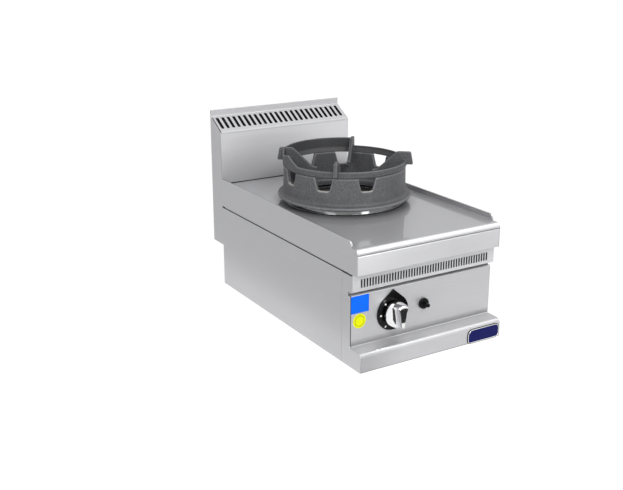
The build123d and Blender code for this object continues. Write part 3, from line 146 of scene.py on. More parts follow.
class Flow:
    """A socket in a sum: each Python operator on it adds one Math node, and 1 - mask works."""

    def __init__(self, finish, socket):
        self.finish = finish
        self.socket = socket

    def maths(self, operation, *values):
        """One Math node on this socket and the values."""
        return self.finish.node("ShaderNodeMath", {"operation": operation}, dict(enumerate((self, *values))))

    def __add__(self, other):
        return self.maths("ADD", other)

    __radd__ = __add__

    def __mul__(self, other):
        return self.maths("MULTIPLY", other)

    __rmul__ = __mul__

    def __sub__(self, other):
        return self.maths("SUBTRACT", other)

    def __rsub__(self, other):
        return self.finish.node("ShaderNodeMath", {"operation": "SUBTRACT"}, {0: other, 1: self})

    def __truediv__(self, other):
        return self.maths("DIVIDE", other)

    def __pow__(self, other):
        return self.maths("POWER", other)

    def clamped(self):
        """The value held between 0 and 1."""
        return self.finish.node("ShaderNodeClamp", {}, {"Value": self})

    def between(self, low, high):
        """0 at low, 1 at high, straight between them."""
        return ((self - low) / (high - low)).clamped()


class Finish:
    """One procedural material on a Principled shader."""

    def __init__(self, name, **constants):
        self.material = bpy.data.materials.new(name)
        self.material.use_nodes = True
        self.tree = self.material.node_tree
        self.tree.nodes.clear()
        self.output = self.tree.nodes.new("ShaderNodeOutputMaterial")
        self.shader = self.tree.nodes.new("ShaderNodeBsdfPrincipled")
        self.tree.links.new(self.shader.outputs[0], self.output.inputs["Surface"])
        for socket, value in constants.items():
            self.shader.inputs[socket.replace("_", " ")].default_value = value

    def node(self, kind, settings=None, inputs=None, output=0):
        """Any node: its settings first, then the values or links of its sockets; gives one of its outputs."""
        made = self.tree.nodes.new(kind)
        for key, value in (settings or {}).items():
            setattr(made, key, value)
        for key, value in (inputs or {}).items():
            self.join(value, made.inputs[key])
        return Flow(self, made.outputs[output])

    def join(self, value, socket):
        """A link where the value is a Flow, and otherwise the socket's own value."""
        if isinstance(value, Flow):
            self.tree.links.new(value.socket, socket)
        elif socket.type == "RGBA" and len(value) == 3:
            socket.default_value = (*value, 1)
        else:
            socket.default_value = value

    def mix(self, share, low, high):
        """Colours mixed by a share."""
        return self.node("ShaderNodeMix", {"data_type": "RGBA"}, {0: share, 6: low, 7: high}, output=2)

    def place(self, stretch=(1, 1, 1)):
        """Object coordinates, stretched."""
        point = self.node("ShaderNodeTexCoord", output=3)
        return self.node("ShaderNodeMapping", {}, {"Vector": point, "Scale": stretch})

    def noise(self, scale, detail=2.0, rough=0.5, stretch=(1, 1, 1)):
        """Smooth noise, from 0 to 1, with that many waves per metre."""
        return self.node("ShaderNodeTexNoise", {}, {
            "Vector": self.place(stretch), "Scale": scale, "Detail": detail, "Roughness": rough})

    def grains(self, scale):
        """Distance to the nearest of scattered grains."""
        return self.node("ShaderNodeTexVoronoi", {}, {"Vector": self.place(), "Scale": scale})

    def axis(self, index):
        """One Object coordinate, in metres."""
        point = self.node("ShaderNodeTexCoord", output=3)
        return self.node("ShaderNodeSeparateXYZ", {}, {0: point}, output=index)

    def reach(self, axis, across=(0, 1)):
        """One Object coordinate or, for a place, the distance from it in the two coordinates across: from an
        upright axis, where these are X and Y."""
        if not isinstance(axis, tuple):
            return self.axis(axis)
        first, second = (self.axis(index) - part for index, part in zip(across, axis))
        return (first * first + second * second) ** 0.5

    def within(self, limits):
        """1 where each coordinate or distance has passed from its start to its end, and 0 before the
        start."""
        share = 1.0
        for axis, start, end in limits:
            share = self.reach(axis).between(start, end) * share
        return share

    def set(self, **sockets):
        """Links or values of the shader's own sockets."""
        for socket, value in sockets.items():
            self.join(value, self.shader.inputs[socket.replace("_", " ")])
        return self

    def bump(self, height, depth, strength=1.0):
        """The shader's normal from a height between 0 and 1, that deep in metres."""
        normal = self.node("ShaderNodeBump", {}, {"Strength": strength, "Distance": depth, "Height": height})
        return self.set(Normal=normal)


def shade(base, factor):
    """A colour made lighter or darker by a factor."""
    return tuple(min(1.0, part * factor) for part in base)


def brushed(name, base, rough, along, metal=1.0, streak=0.10, cloud=0.06, gaps=(), cut_walls=False, tones=(),
            **constants):
    """Satin stainless sheet: long fine scratches along one axis, faint speckle and slow clouds in the
    sheen. A gap is a place in an open joint, where the sheet is painted near black as painted shade. With
    gaps or cut_walls, so are the faces that the mesh marks as cut walls. A gap is given as limits (axis,
    start, end), or ((X, Y), start, end) for a distance, all of which hold there. A tone is (factor,
    limits): there the sheet is that much lighter or darker. Tones are painted light, shade and reflections:
    they paint in what the photograph's reflections do to the sheet and the studio here doesn't, so they stay
    under any other light."""
    made = Finish(name, Metallic=metal, **constants)
    fine, wide = (tuple(lengthwise if axis == along else crosswise for axis in range(3))
                  for lengthwise, crosswise in ((12, 1900), (5, 420)))
    scratch = made.noise(1.0, 3.0, 0.6, stretch=fine)
    coarse = made.noise(1.0, 2.0, 0.5, stretch=wide)
    speckle = made.noise(1300, 1.0, 0.5)
    clouds = made.noise(7, 3.0, 0.55)
    wear = scratch * 0.45 + coarse * 0.25 + speckle * 0.3
    tone = made.mix(((wear - 0.5) * 1.6 + 0.5).clamped(), shade(base, 1 - streak), shade(base, 1 + streak))
    for factor, limits in tones:
        tone = made.mix(made.within(limits), tone, shade(base, factor))
    # Painted shade: open joints and slot walls are painted near black.
    if gaps or cut_walls:
        gap_shade = made.node("ShaderNodeAttribute", {"attribute_name": "cut_wall"}, output=2)
        for limits in gaps:
            gap_shade = gap_shade + made.within(limits)
        gap_shade = gap_shade.clamped()
        tone = made.mix(gap_shade, tone, (0.003, 0.003, 0.003))
        made.set(Metallic=(1 - gap_shade) * metal)
    made.set(Base_Color=tone)
    made.set(Roughness=(wear - 0.5) * 0.16 + (clouds - 0.5) * cloud * 2 + rough)
    return made.bump(scratch * 0.6 + coarse * 0.4, 0.012 * MM, 0.5)


def ground_hob(name, base, burner, rear, front, seam):
    """Fine-ground hob sheet: a dull metal with a clear thin sheen that mirrors at a low angle. Past rear
    it lies in the open joint under the flue, where it is painted dark as shade, and near the burner's place
    in Y it is painted darker within the stand's reach, as the stand's painted shadow. The rounded nose
    begins at front, with a painted highlight on it, and its cut edge is at the height seam, with painted
    grey lines above it and a painted dark line of shade along it."""
    tones = [
        # Painted shadow round the stand, a painted highlight on the nose, painted grey lines and a painted
        # shade line at the cut edge.
        (0.66, [((0, burner), 188 * MM, 158 * MM)]),
        (1.5, [(1, front + 11 * MM, front + 6 * MM)]),
        (0.9, [(2, seam + 4.8 * MM, seam + 4.2 * MM), (2, seam + 2.8 * MM, seam + 3.4 * MM)]),
        (0.2, [(2, seam + 1.8 * MM, seam + 0.8 * MM)])]
    # Painted shade in the open joint under the flue.
    gaps = [[(1, rear - 2 * MM, rear - MM)]]
    return brushed(name, base, 0.46, 0, metal=0.5, streak=0.05, cloud=0.05, tones=tones, gaps=gaps,
                   Coat_Weight=1.0, Coat_Roughness=0.05, Coat_IOR=1.45)


def polished(name, base, rough=0.07, painted_shade_centre=None):
    """Pressed and polished or plated metal, with the faint waviness of its tool. Where a centre is given, as
    (place in Y, radius), the metal within that radius of the upright axis there is painted dark, as painted
    shade inside the stand."""
    made = Finish(name, Metallic=1.0)
    wave = made.noise(60, 2.0, 0.5)
    hair = made.noise(900, 2.0, 0.5)
    tone = made.mix(hair, shade(base, 0.97), shade(base, 1.03))
    # Painted shade: the metal within the given radius is painted dark.
    if painted_shade_centre:
        near = 1 - made.reach((0, painted_shade_centre[0])).between(painted_shade_centre[1] - 0.8 * MM, painted_shade_centre[1])
        tone = made.mix(near, tone, (0.045, 0.045, 0.046))
        made.set(Metallic=1 - near * 0.9)
    made.set(Base_Color=tone, Roughness=(hair - 0.5) * 0.05 + rough)
    return made.bump(wave, 0.05 * MM, 0.35)


def cast_iron(name, base, grain, painted_inner_shade=0.25):
    """Sand-cast iron under a heat-proof coat: sandy grain, small pits, painted shade in hollows, and bright
    edges that are partly rubbed wear and partly a painted highlight. The mesh's own marks give its sills a
    painted highlight and the faces that look inwards painted shade."""
    made = Finish(name, Metallic=0.0, Specular_IOR_Level=0.42)
    sand = made.noise(1 / grain, 3.0, 0.62)
    pits = made.grains(0.45 / grain)
    clouds = made.noise(22, 3.0, 0.6)
    flecks = made.noise(1.6 / grain, 1.0, 0.5)
    curve = made.node("ShaderNodeNewGeometry", output=7)
    edge = curve.between(0.508, 0.56)
    hollow = 1 - curve.between(0.42, 0.495)
    tone = made.mix(clouds.between(0.3, 0.7), shade(base, 0.80), shade(base, 1.12))
    tone = made.mix(sand.between(0.50, 0.62) * 0.55, tone, shade(base, 2.1))
    tone = made.mix(sand.between(0.50, 0.38) * 0.6, tone, shade(base, 0.35))
    tone = made.mix(flecks.between(0.58, 0.68) * 0.4, tone, shade(base, 3.0))
    # Bright edges: rubbed wear and a painted highlight.
    tone = made.mix(edge * 0.55, tone, shade(base, 3.8))
    # Painted shade in the hollows.
    tone = made.mix(hollow * 0.6, tone, shade(base, 0.35))
    # Painted shade on the faces that look inwards.
    inward_shade = made.node("ShaderNodeAttribute", {"attribute_name": "painted_inner_shade"}, output=2)
    tone = made.mix(inward_shade * painted_inner_shade, tone, shade(base, 0.3))
    # Painted highlight on the window sills.
    sill_highlight = made.node("ShaderNodeAttribute", {"attribute_name": "painted_sill_highlight"}, output=2)
    tone = made.mix(sill_highlight * 0.8, tone, (0.46, 0.445, 0.40))
    made.set(Base_Color=tone, Roughness=(sand - 0.5) * 0.3 + 0.60 - edge * 0.14)
    return made.bump(sand * 0.75 + pits * 0.35, 0.5 * MM, 0.8)


def moulded(name, base, rough=0.35, coat=0.0, gloss=0.25):
    """Moulded plastic or stove enamel with a faint orange peel and a little dust."""
    made = Finish(name, Metallic=0.0, Coat_Weight=coat, Coat_Roughness=0.04, Specular_IOR_Level=gloss)
    peel = made.noise(420, 2.0, 0.5)
    dust = made.noise(2600, 1.0, 0.5)
    dusty = shade(tuple(part + 0.02 for part in base), 3)
    made.set(Base_Color=made.mix(dust.between(0.66, 0.8) * 0.08, base, dusty),
             Roughness=(peel - 0.5) * 0.08 + rough)
    return made.bump(peel, 0.02 * MM, 0.4)


def turned_metal(name, base, rough=0.28, tarnish=0.35):
    """Machined or drawn metal with tool marks and patches of tarnish."""
    made = Finish(name, Metallic=1.0)
    marks = made.noise(1.0, 2.0, 0.5, stretch=(700, 60, 700))
    patch = made.noise(45, 4.0, 0.6)
    made.set(Base_Color=made.mix(patch.between(0.45, 0.75) * tarnish, base, shade(base, 0.45)),
             Roughness=(marks - 0.5) * 0.12 + patch.between(0.4, 0.8) * 0.18 + rough)
    return made.bump(marks, 0.02 * MM, 0.4)


def galvanised(name, base, painted_inner_shade=None):
    """Zinc-coated sheet of the back and frame: soft spangles over fine rolling lines. Where a depth range is
    given, as (start, end), the sheet in front of that depth is painted near black, as painted shade inside
    the flue."""
    made = Finish(name, Metallic=0.9)
    cells = made.node("ShaderNodeTexVoronoi", {"feature": "F1"},
                      {"Vector": made.place(), "Scale": 130.0, "Randomness": 1.0}, output=1)
    spangle = made.node("ShaderNodeSeparateXYZ", {}, {0: cells}, output=0)
    rolling = made.noise(1.0, 3.0, 0.5, stretch=(8, 700, 700))
    tone = made.mix(spangle * 0.5 + rolling * 0.5, shade(base, 0.88), shade(base, 1.10))
    # Painted shade: the flue's inside is painted near black.
    if painted_inner_shade:
        inside = 1 - made.axis(1).between(*painted_inner_shade)
        tone = made.mix(inside, tone, (0.006, 0.006, 0.006))
        made.set(Metallic=(1 - inside) * 0.9)
    made.set(Base_Color=tone, Roughness=spangle * 0.14 + rolling * 0.08 + 0.32)
    return made.bump(rolling, 0.01 * MM, 0.4)


def printed(name, base, ring=None):
    """Printed film: an even colour with a slight sheen and fine print grain. Where ring is given, as (X,
    Z, inner radius, outer radius), a grey ring is printed round that place."""
    made = Finish(name, Metallic=0.0, Specular_IOR_Level=0.15)
    grain = made.noise(1500, 1.0, 0.5)
    fade = made.noise(30, 2.0, 0.5)
    tone = made.mix(fade * 0.5 + grain * 0.5, shade(base, 0.93), shade(base, 1.05))
    if ring:
        x, z, inner, outer = ring
        radius, soft = made.reach((x, z), (0, 2)), 0.3 * MM
        line = (radius.between(inner, inner + soft) - radius.between(outer - soft, outer)).clamped()
        tone = made.mix(line * 0.6, tone, shade(base, 0.12))
    made.set(Base_Color=tone, Roughness=(grain - 0.5) * 0.1 + 0.34)
    return made.bump(fade, 0.03 * MM, 0.3)


def panel_sheet(base):
    """Control panel's sheet: painted light at its upper left, painted shade over its ledge and a painted
    highlight on it. The foot has the plain tone and painted shade to the left. The lower edge has a
    painted shadow line, and the joint at the left is painted dark as shade."""
    ledge, joint = 46 * MM, -196.4 * MM
    foot = (1, -359 * MM, -362 * MM)
    return brushed("satin_panel", shade(base, 0.95), 0.40, 0, metal=0.6, tones=[
        (1.04, [(0, 60 * MM, -40 * MM), (2, 105 * MM, 140 * MM)]),
        (0.52, [(2, ledge + 16 * MM, ledge + 3 * MM)]),
        (1.04, [(2, ledge + 1.5 * MM, ledge)]),
        (1.00, [foot]),
        (0.76, [foot, (0, -80 * MM, -180 * MM)]),
        (0.16, [(2, 2.8 * MM, 1.8 * MM)]),
        (0.05, [(0, joint, joint - MM), (2, ledge, ledge + 3 * MM)])])


def flue_sheet(base, end, bend, top):
    """Splashback's sheet, whose slope lies between the heights bend and top: painted shade low on its front,
    a painted dark line along each fold, painted shade on the upstand, and the joint at the slope's end
    painted dark as shade."""
    return brushed("satin_flue", shade(base, 1.18), 0.48, 0, metal=0.35, tones=[
        (0.62, [(2, bend - 45 * MM, bend - 135 * MM)]),
        (0.90, [(2, bend - MM, bend)]),
        (0.80, [(2, bend - 7 * MM, bend - 4 * MM), (2, bend + 3 * MM, bend)]),
        (0.84, [(2, top - 2 * MM, top), (2, top + 5 * MM, top + 2 * MM)]),
        (0.78, [(2, top + 2 * MM, top + 5 * MM)])],
        gaps=[[(0, end + 2.8 * MM, end + 2.2 * MM), (2, top + 2 * MM, top + MM), (2, bend - 3 * MM, bend)]])


# Meshes

def finished_object(name, mesh, finish, body, smooth=35.0):
    """Puts a mesh in the scene at the origin, with its finish, and lets it ride on its body."""
    mesh.materials.clear()
    mesh.materials.append(finish.material)
    mesh.shade_smooth()
    mesh.set_sharp_from_angle(angle=math.radians(smooth))
    made = bpy.data.objects.new(name, mesh)
    bpy.context.scene.collection.objects.link(made)
    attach(made, body)
    return made


def in_place_of(node, name, mesh, finish, smooth=35.0):
    """A piece that stands for a node, on its body, with the node hidden."""
    made = finished_object(name, mesh, finish, BODY_OF[node], smooth)
    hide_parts(node)
    return made


def merged(node, flat=0.25):
    """A copy of a node's mesh: points that share a place become one, and areas that are flat to that many
    degrees become one face each."""
    copy = bmesh.new()
    copy.from_mesh(NODES[node].data)
    bmesh.ops.remove_doubles(copy, verts=copy.verts, dist=2e-6)
    if flat:
        bmesh.ops.dissolve_limit(copy, angle_limit=math.radians(flat), verts=copy.verts, edges=copy.edges)
    mesh = bpy.data.meshes.new(node + "_dressed")
    copy.to_mesh(mesh)
    copy.free()
    for attribute in [a for a in mesh.attributes if a.name.startswith("custom_normal")]:
        mesh.attributes.remove(attribute)
    return mesh


def mark_cut_walls(mesh, across, low, high, half):
    """Marks, on the faces of a slotted sheet, the walls of its slots: faces whose normal is at right
    angles to the sheet's own normal, across, between two heights and within half of the middle."""
    count = len(mesh.polygons)
    normal, centre = np.empty(count * 3), np.empty(count * 3)
    mesh.polygons.foreach_get("normal", normal)
    mesh.polygons.foreach_get("center", centre)
    normal, centre = normal.reshape(-1, 3), centre.reshape(-1, 3)
    wall = (np.abs(normal @ np.asarray(across)) < 0.4) & (np.abs(centre[:, 0]) < half)
    wall &= (centre[:, 2] > low) & (centre[:, 2] < high)
    layer = mesh.attributes.new("cut_wall", "FLOAT", "FACE")
    layer.data.foreach_set("value", wall.astype(np.float32))


def widen_slots(mesh, low, high, half, count, width, factor):
    """Widens the slots of a sloped sheet between two heights and within half of the middle: each point of
    a slot's edge moves away from the slot's middle line, to that line plus factor times its distance from
    it. The slots are evenly spaced."""
    place = np.empty(len(mesh.vertices) * 3)
    mesh.vertices.foreach_get("co", place)
    place = place.reshape(-1, 3)
    edge = (place[:, 2] > low) & (place[:, 2] < high) & (np.abs(place[:, 0]) < half)
    across = place[edge, 0]
    middle = np.linspace(across.min() + width / 2, across.max() - width / 2, count)
    nearest = middle[np.abs(across[:, None] - middle).argmin(axis=1)]
    place[edge, 0] = nearest + factor * (across - nearest)
    mesh.vertices.foreach_set("co", place.ravel())
    mesh.update()


def softened(made, width):
    """Rounds a piece's edges of over 40 degrees with a live bevel."""
    bevel = made.modifiers.new("Edges", "BEVEL")
    bevel.width = width
    bevel.segments = 2
    bevel.limit_method = "ANGLE"
    bevel.angle_limit = math.radians(40)
    bevel.harden_normals = True
    bevel.use_clamp_overlap = True


def dressed(node, finish, edge=0.0):
    """A node's own shape with closed seams, softened edges and its finish, in place of the node."""
    made = in_place_of(node, node + "_dressed", merged(node), finish)
    if edge:
        softened(made, edge)
    return made


def mark_painted_light(mesh, middle_y, sill, inner, outer):
    """Marks a round casting about an upright axis for painted light: for painted shade, where its normal has
    the part s towards the axis, by the share s, and for a painted highlight on its sills, the upward faces
    at the sill's height between two radii."""
    count = len(mesh.vertices)
    place, normal = np.empty(count * 3), np.empty(count * 3)
    mesh.vertices.foreach_get("co", place)
    mesh.vertices.foreach_get("normal", normal)
    place, normal = place.reshape(-1, 3), normal.reshape(-1, 3)
    flat = place[:, :2] - (0, middle_y)
    radius = np.linalg.norm(flat, axis=1)
    inward = -(flat * normal[:, :2]).sum(axis=1) / np.maximum(radius, 1e-6)
    sill_highlight = np.clip((normal[:, 2] - 0.55) / 0.2, 0, 1) * (np.abs(place[:, 2] - sill) < 3 * MM)
    sill_highlight *= (radius > inner) & (radius < outer)
    for name, value in (("painted_inner_shade", np.clip(inward, 0, 1)), ("painted_sill_highlight", sill_highlight)):
        mesh.attributes.new(name, "FLOAT", "POINT").data.foreach_set("value", value.astype(np.float32))


def cast(node, finish, voxel, rounds, wear):
    """A node's shape as a casting: remeshed on a fine lattice and relaxed, so that every corner gets its
    fillet."""
    holder = bpy.data.objects.new("holder", merged(node, 0))
    bpy.context.scene.collection.objects.link(holder)
    lattice = holder.modifiers.new("Lattice", "REMESH")
    lattice.mode = "VOXEL"
    lattice.voxel_size = voxel
    relax = holder.modifiers.new("Relax", "SMOOTH")
    relax.factor = 0.5
    relax.iterations = rounds
    bpy.context.view_layer.update()
    mesh = bpy.data.meshes.new_from_object(holder.evaluated_get(bpy.context.evaluated_depsgraph_get()))
    bpy.data.objects.remove(holder)
    if not mesh.polygons:
        raise RuntimeError(f"the casting {node} came out empty")
    mesh.name = node + "_cast"
    # Marks where the painted shade and the sills' painted highlight go.
    mark_painted_light(mesh, **wear)
    in_place_of(node, mesh.name, mesh, finish, 180.0)


def grid_mesh(name, points, closed_end=False):
    """A mesh over a grid of points (along, around, xyz): one quad for each cell, joined round, and also
    from the last row to the first where the end is closed. Points that share a place, as at a pole,
    become one, and the faces are then turned outwards."""
    rows, columns = points.shape[:2]
    index = np.arange(rows * columns).reshape(rows, columns)
    if closed_end:
        index = np.vstack([index, index[:1]])
    across = np.roll(index, -1, axis=1)
    quads = np.stack([index[:-1], across[:-1], across[1:], index[1:]], axis=-1).reshape(-1, 4)
    mesh = bpy.data.meshes.new(name)
    mesh.from_pydata(points.reshape(-1, 3).tolist(), [], quads.tolist())
    shell = bmesh.new()
    shell.from_mesh(mesh)
    bmesh.ops.remove_doubles(shell, verts=shell.verts, dist=1e-7)
    bmesh.ops.recalc_face_normals(shell, faces=shell.faces)
    shell.to_mesh(mesh)
    shell.free()
    return mesh


def facing(origin, outward):
    """A matrix whose Z is outward and whose Y is as near to upright as it can be, or to +Y where Z is
    upright."""
    z = Vector(outward).normalized()
    up = Vector((0, 1, 0) if abs(z.z) > 0.99 else (0, 0, 1))
    x = up.cross(z).normalized()
    y = z.cross(x)
    turn = Matrix((x, y, z)).transposed().to_4x4()
    return Matrix.Translation(origin) @ turn


def rounded_outline(width, height, corners, steps=12):
    """Outline of a plate: four quarter circles of the given radii, from the upper right corner round to
    the left, one after another. A point of a corner is its centre plus the radius times (cos a, sin a)."""
    quarter = np.linspace(0, math.pi / 2, steps)
    parts = []
    for number, radius in enumerate(corners):
        side = np.array([(1, 1), (-1, 1), (-1, -1), (1, -1)][number])
        centre = side * (np.array([width, height]) / 2 - radius)
        angle = quarter + number * math.pi / 2
        parts.append(centre + radius * np.stack([np.cos(angle), np.sin(angle)], axis=1))
    return np.concatenate(parts)


def plate_surface(outline, thickness, edge, dome):
    """A closed plate over an outline: going from the back's middle to the front's, a point is the outline
    drawn in towards the middle by s, at height h. The edge is a quarter round of radius edge, and the
    face rises by dome times (1 - s squared)."""
    reach = np.abs(outline).max()
    turn = np.linspace(0, math.pi / 2, 5)
    inward = 1 - (edge / reach) * (1 - np.cos(turn))
    rising = (thickness - edge) + edge * np.sin(turn)
    run = np.linspace(1 - edge / reach, 0, 9)[1:]
    share = np.concatenate([[0, 0.5, 1], inward, run])
    height = np.concatenate([[0, 0, 0], rising, thickness + dome * (1 - (run / run[0]) ** 2)])
    flat = outline[None] * share[:, None, None]
    return np.concatenate([flat, np.broadcast_to(height[:, None, None], (*flat.shape[:2], 1))], axis=-1)


def bead_surface(outline, inner, radius, base):
    """A rim: a half-round profile carried along an outline. Its middle is the outline drawn in by inner,
    and a point of it is that line moved outwards by radius cos a and up by radius sin a."""
    ahead = np.roll(outline, -1, axis=0) - np.roll(outline, 1, axis=0)
    normal = np.stack([ahead[:, 1], -ahead[:, 0]], axis=1)
    normal /= np.linalg.norm(normal, axis=1, keepdims=True)
    angle = np.linspace(0, TAU, 15)[:-1]
    outward = radius * np.cos(angle) - inner
    rise = base + radius * np.maximum(np.sin(angle), -0.2)
    flat = outline[None] + outward[:, None, None] * normal[None]
    return np.concatenate([flat, np.broadcast_to(rise[:, None, None], (*flat.shape[:2], 1))], axis=-1)


def lathe_surface(profile, around=48):
    """A turned form: each profile point (radius, height) goes round the axis, x = r cos a, y = r sin a, z
    = h."""
    profile = np.asarray(profile, float)
    angle = np.arange(around) * TAU / around
    radius = profile[:, 0, None]
    return np.stack([radius * np.cos(angle), radius * np.sin(angle),
                     np.broadcast_to(profile[:, 1, None], (len(profile), around))], axis=-1)


def screw_head_surface(radius, height, reach):
    """A pan head with a cross recess. A point is at (r, a), and its height is a low dome, height times
    (1 - (r / radius) ** 4) to the power one half, less the recess where the point is inside one of two
    bars crossed at the middle; the recess grows deeper towards the middle."""
    share = np.concatenate([np.linspace(0, 0.62, 12), np.linspace(0.66, 1, 8)])
    angle = np.arange(64) * TAU / 64
    r, a = np.meshgrid(share, angle, indexing="ij")
    x, y = r * np.cos(a), r * np.sin(a)
    dome = np.sqrt(np.clip(1 - r ** 4, 0, 1))
    inside = np.minimum(np.abs(x), np.abs(y))
    arm = np.clip((0.15 - inside) / 0.05, 0, 1) * np.clip((reach - r) / 0.08, 0, 1)
    z = height * (dome - 0.62 * arm * (1 - 0.5 * r / reach))
    points = np.stack([x * radius, y * radius, z], axis=-1)
    under = np.zeros((1, 64, 3))
    return np.concatenate([points, under], axis=0)


def thread_surface(radius, depth, pitch, start, end):
    """The outside of a threaded pipe: the radius at height z and angle a is the outer radius less depth
    times a tooth, which is the distance of z / pitch - a / turn from the nearest whole number, doubled.
    The tooth fades over the last pitch at each end."""
    height = np.linspace(start, end, round((end - start) / pitch * 8))
    angle = np.arange(48) * TAU / 48
    z, a = np.meshgrid(height, angle, indexing="ij")
    phase = z / pitch - a / TAU
    tooth = 2 * np.abs(phase - np.round(phase))
    fade = np.clip((z - start) / pitch, 0, 1) * np.clip((end - z) / (1.5 * pitch), 0, 1)
    r = radius - depth * (1 - (1 - tooth) * fade)
    return np.stack([r * np.cos(a), r * np.sin(a), z], axis=-1)


def collar_profile(outer, inner, foot, top, leg, lip, wall, corner, cove, lean):
    """Section of the pressed ring round the burner hole, as (radius, height): up from the hob in a cove,
    leaning inwards to a corner, over a second corner, down the inner leg to its lip, and back inside at
    the sheet's thickness. Each corner is an arc, its centre plus its radius times (cos a, sin a)."""
    narrow = outer - inner - corner - lean
    slope = math.degrees(math.atan2(lean, top - foot - corner - cove))
    middle = outer - lean - corner

    def arc(centre_r, centre_z, radius, start, end):
        """Seven points of an arc, from one angle in degrees to another."""
        angle = np.radians(np.linspace(start, end, 7))
        return np.stack([centre_r + radius * np.cos(angle), centre_z + radius * np.sin(angle)], axis=1)

    return np.concatenate([
        arc(outer + cove, foot + cove, cove, 270, 180),
        arc(middle, top - corner, corner, slope, 90),
        arc(inner + narrow, top - narrow, narrow, 90, 180),
        [(inner, leg + wall), (inner - lip, leg + wall), (inner - lip, leg), (inner + wall, leg)],
        arc(inner + narrow, top - narrow, narrow - wall, 180, 90),
        arc(middle, top - corner, corner - wall, 90, slope),
        [(outer - wall, foot + cove / 2), (outer - wall, foot + 0.05 * MM)],
    ])


def joined(name, meshes):
    """One mesh of several."""
    whole = bmesh.new()
    for mesh in meshes:
        whole.from_mesh(mesh)
    mesh = bpy.data.meshes.new(name)
    whole.to_mesh(mesh)
    whole.free()
    return mesh


def placed(mesh, matrix):
    """The mesh moved to its place, with its object left at the origin."""
    mesh.transform(matrix)
    mesh.update()
    return mesh


def stuck_on(name, surface, place, finish, closed_end=False):
    """A plate, mark or rim on the chassis, its surface carried to its place."""
    mesh = placed(grid_mesh(name, surface, closed_end), place)
    finished_object(name, mesh, finish, "chassis")


# Operators, one for each group of like pieces

class WOK_OT_casing(bpy.types.Operator):
    """Folded sheets of the casing, the flue, the back and the frame"""
    bl_idname = "wok_range.casing"
    bl_label = "Sheet casing"

    slot_widening: bpy.props.FloatProperty(
        name="Slot widening", description="Width of a flue slot over the solid's slot", default=1.34)

    def execute(self, context):
        base, edge = colours().casing, sizes().sheet_edge
        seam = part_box("left_side_panel")[1].z
        # Each sheet's factor on the one casing colour is painted light and shade for how its faces are lit:
        # sides 0.97, fascia 1.10, panel 0.95, grille 1.16, flue 1.18.
        upright = brushed("satin_side", shade(base, 0.97), 0.40, 1, metal=0.85)
        # Painted shade in the open seam above the side panels.
        under_seam = brushed("satin_side_under_seam", shade(base, 0.97), 0.40, 1, metal=0.85,
                             gaps=[[(2, seam - 1.4 * MM, seam - 0.5 * MM)]])
        # Painted shade: a dark line along the inner top edge of the left rim.
        rim = brushed("satin_rim", shade(base, 0.97), 0.40, 1, metal=0.85, tones=[
            (0.35, [(2, 288 * MM, 290 * MM), (0, 0, -MM), (0, -197.8 * MM, -197 * MM)])])
        finishes = {"panel": under_seam, "cheek": under_seam, "skirt": rim, "side": upright}
        for node in SHELL:
            dressed(node, finishes[node.split("_")[-1]], edge)
        # Painted light on the fascia's left part.
        level = brushed("satin_front", shade(base, 1.10), 0.40, 0, metal=0.6, tones=[
            (1.22, [(0, 60 * MM, -160 * MM)])])
        dressed("front_fascia", level, edge)
        dressed("control_panel", panel_sheet(base), edge)
        # Painted shade on the walls of the grille's slots.
        grille = brushed("satin_grille", shade(base, 1.16), 0.40, 0, metal=0.6, cut_walls=True)
        vent = dressed("vent_grille", grille)
        mark_cut_walls(vent.data, BACK, low=187 * MM, high=204 * MM, half=190 * MM)
        bend, top = 420 * MM, 448.5 * MM
        splash = dressed("splashback", flue_sheet(base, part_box("splashback")[0].x, bend, top))
        mark_cut_walls(splash.data, (0, -0.52, 0.85), bend, top, half=192 * MM)
        widen_slots(splash.data, bend, top, half=195 * MM, count=24, width=6.4 * MM,
                    factor=self.slot_widening)
        zinc = galvanised("galvanised_sheet", shade(base, 0.86))
        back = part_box("flue_back")[1].y
        # Painted shade: the flue's inside is painted near black.
        shaded_flue_zinc = galvanised("galvanised_flue", shade(base, 0.86), painted_inner_shade=(back - 0.9 * MM, back - 0.3 * MM))
        for node in BACK_AND_FRAME:
            dressed(node, shaded_flue_zinc if node.startswith("flue") else zinc)
        return {"FINISHED"}


class WOK_OT_hob(bpy.types.Operator):
    """Hob sheet, the burner opening's collar and the drip bowl"""
    bl_idname = "wok_range.hob"
    bl_label = "Hob"

    def execute(self, context):
        flue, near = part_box("splashback")[0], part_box("worktop")[0]
        low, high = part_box("hob_collar")
        burner, outer = (low.y + high.y) / 2, (high.x - low.x) / 2
        dressed("worktop", ground_hob("ground_hob_sheet", colours().hob, burner, flue.y, near.y, near.z))
        profile = collar_profile(
            outer, inner=outer - 12.5 * MM, foot=flue.z - 2.3 * MM, top=high.z, leg=low.z, lip=5.5 * MM,
            wall=1.2 * MM, corner=5 * MM, cove=2.5 * MM, lean=2.4 * MM)
        mesh = grid_mesh("hob_collar_pressed", lathe_surface(profile, 128), closed_end=True)
        placed(mesh, Matrix.Translation((0, burner, 0)))
        # The collar's chrome is painted at a quarter of its brightness as painted shade under the stand, and
        # painted darker still within its middle.
        shine = polished("polished_collar", shade(colours().chrome, 0.24), 0.13,
                         painted_shade_centre=(burner, outer - 4 * MM))
        in_place_of("hob_collar", mesh.name, mesh, shine)
        dressed("drip_bowl", moulded("dark_enamel", colours().bowl, 0.4, gloss=0.4))
        return {"FINISHED"}


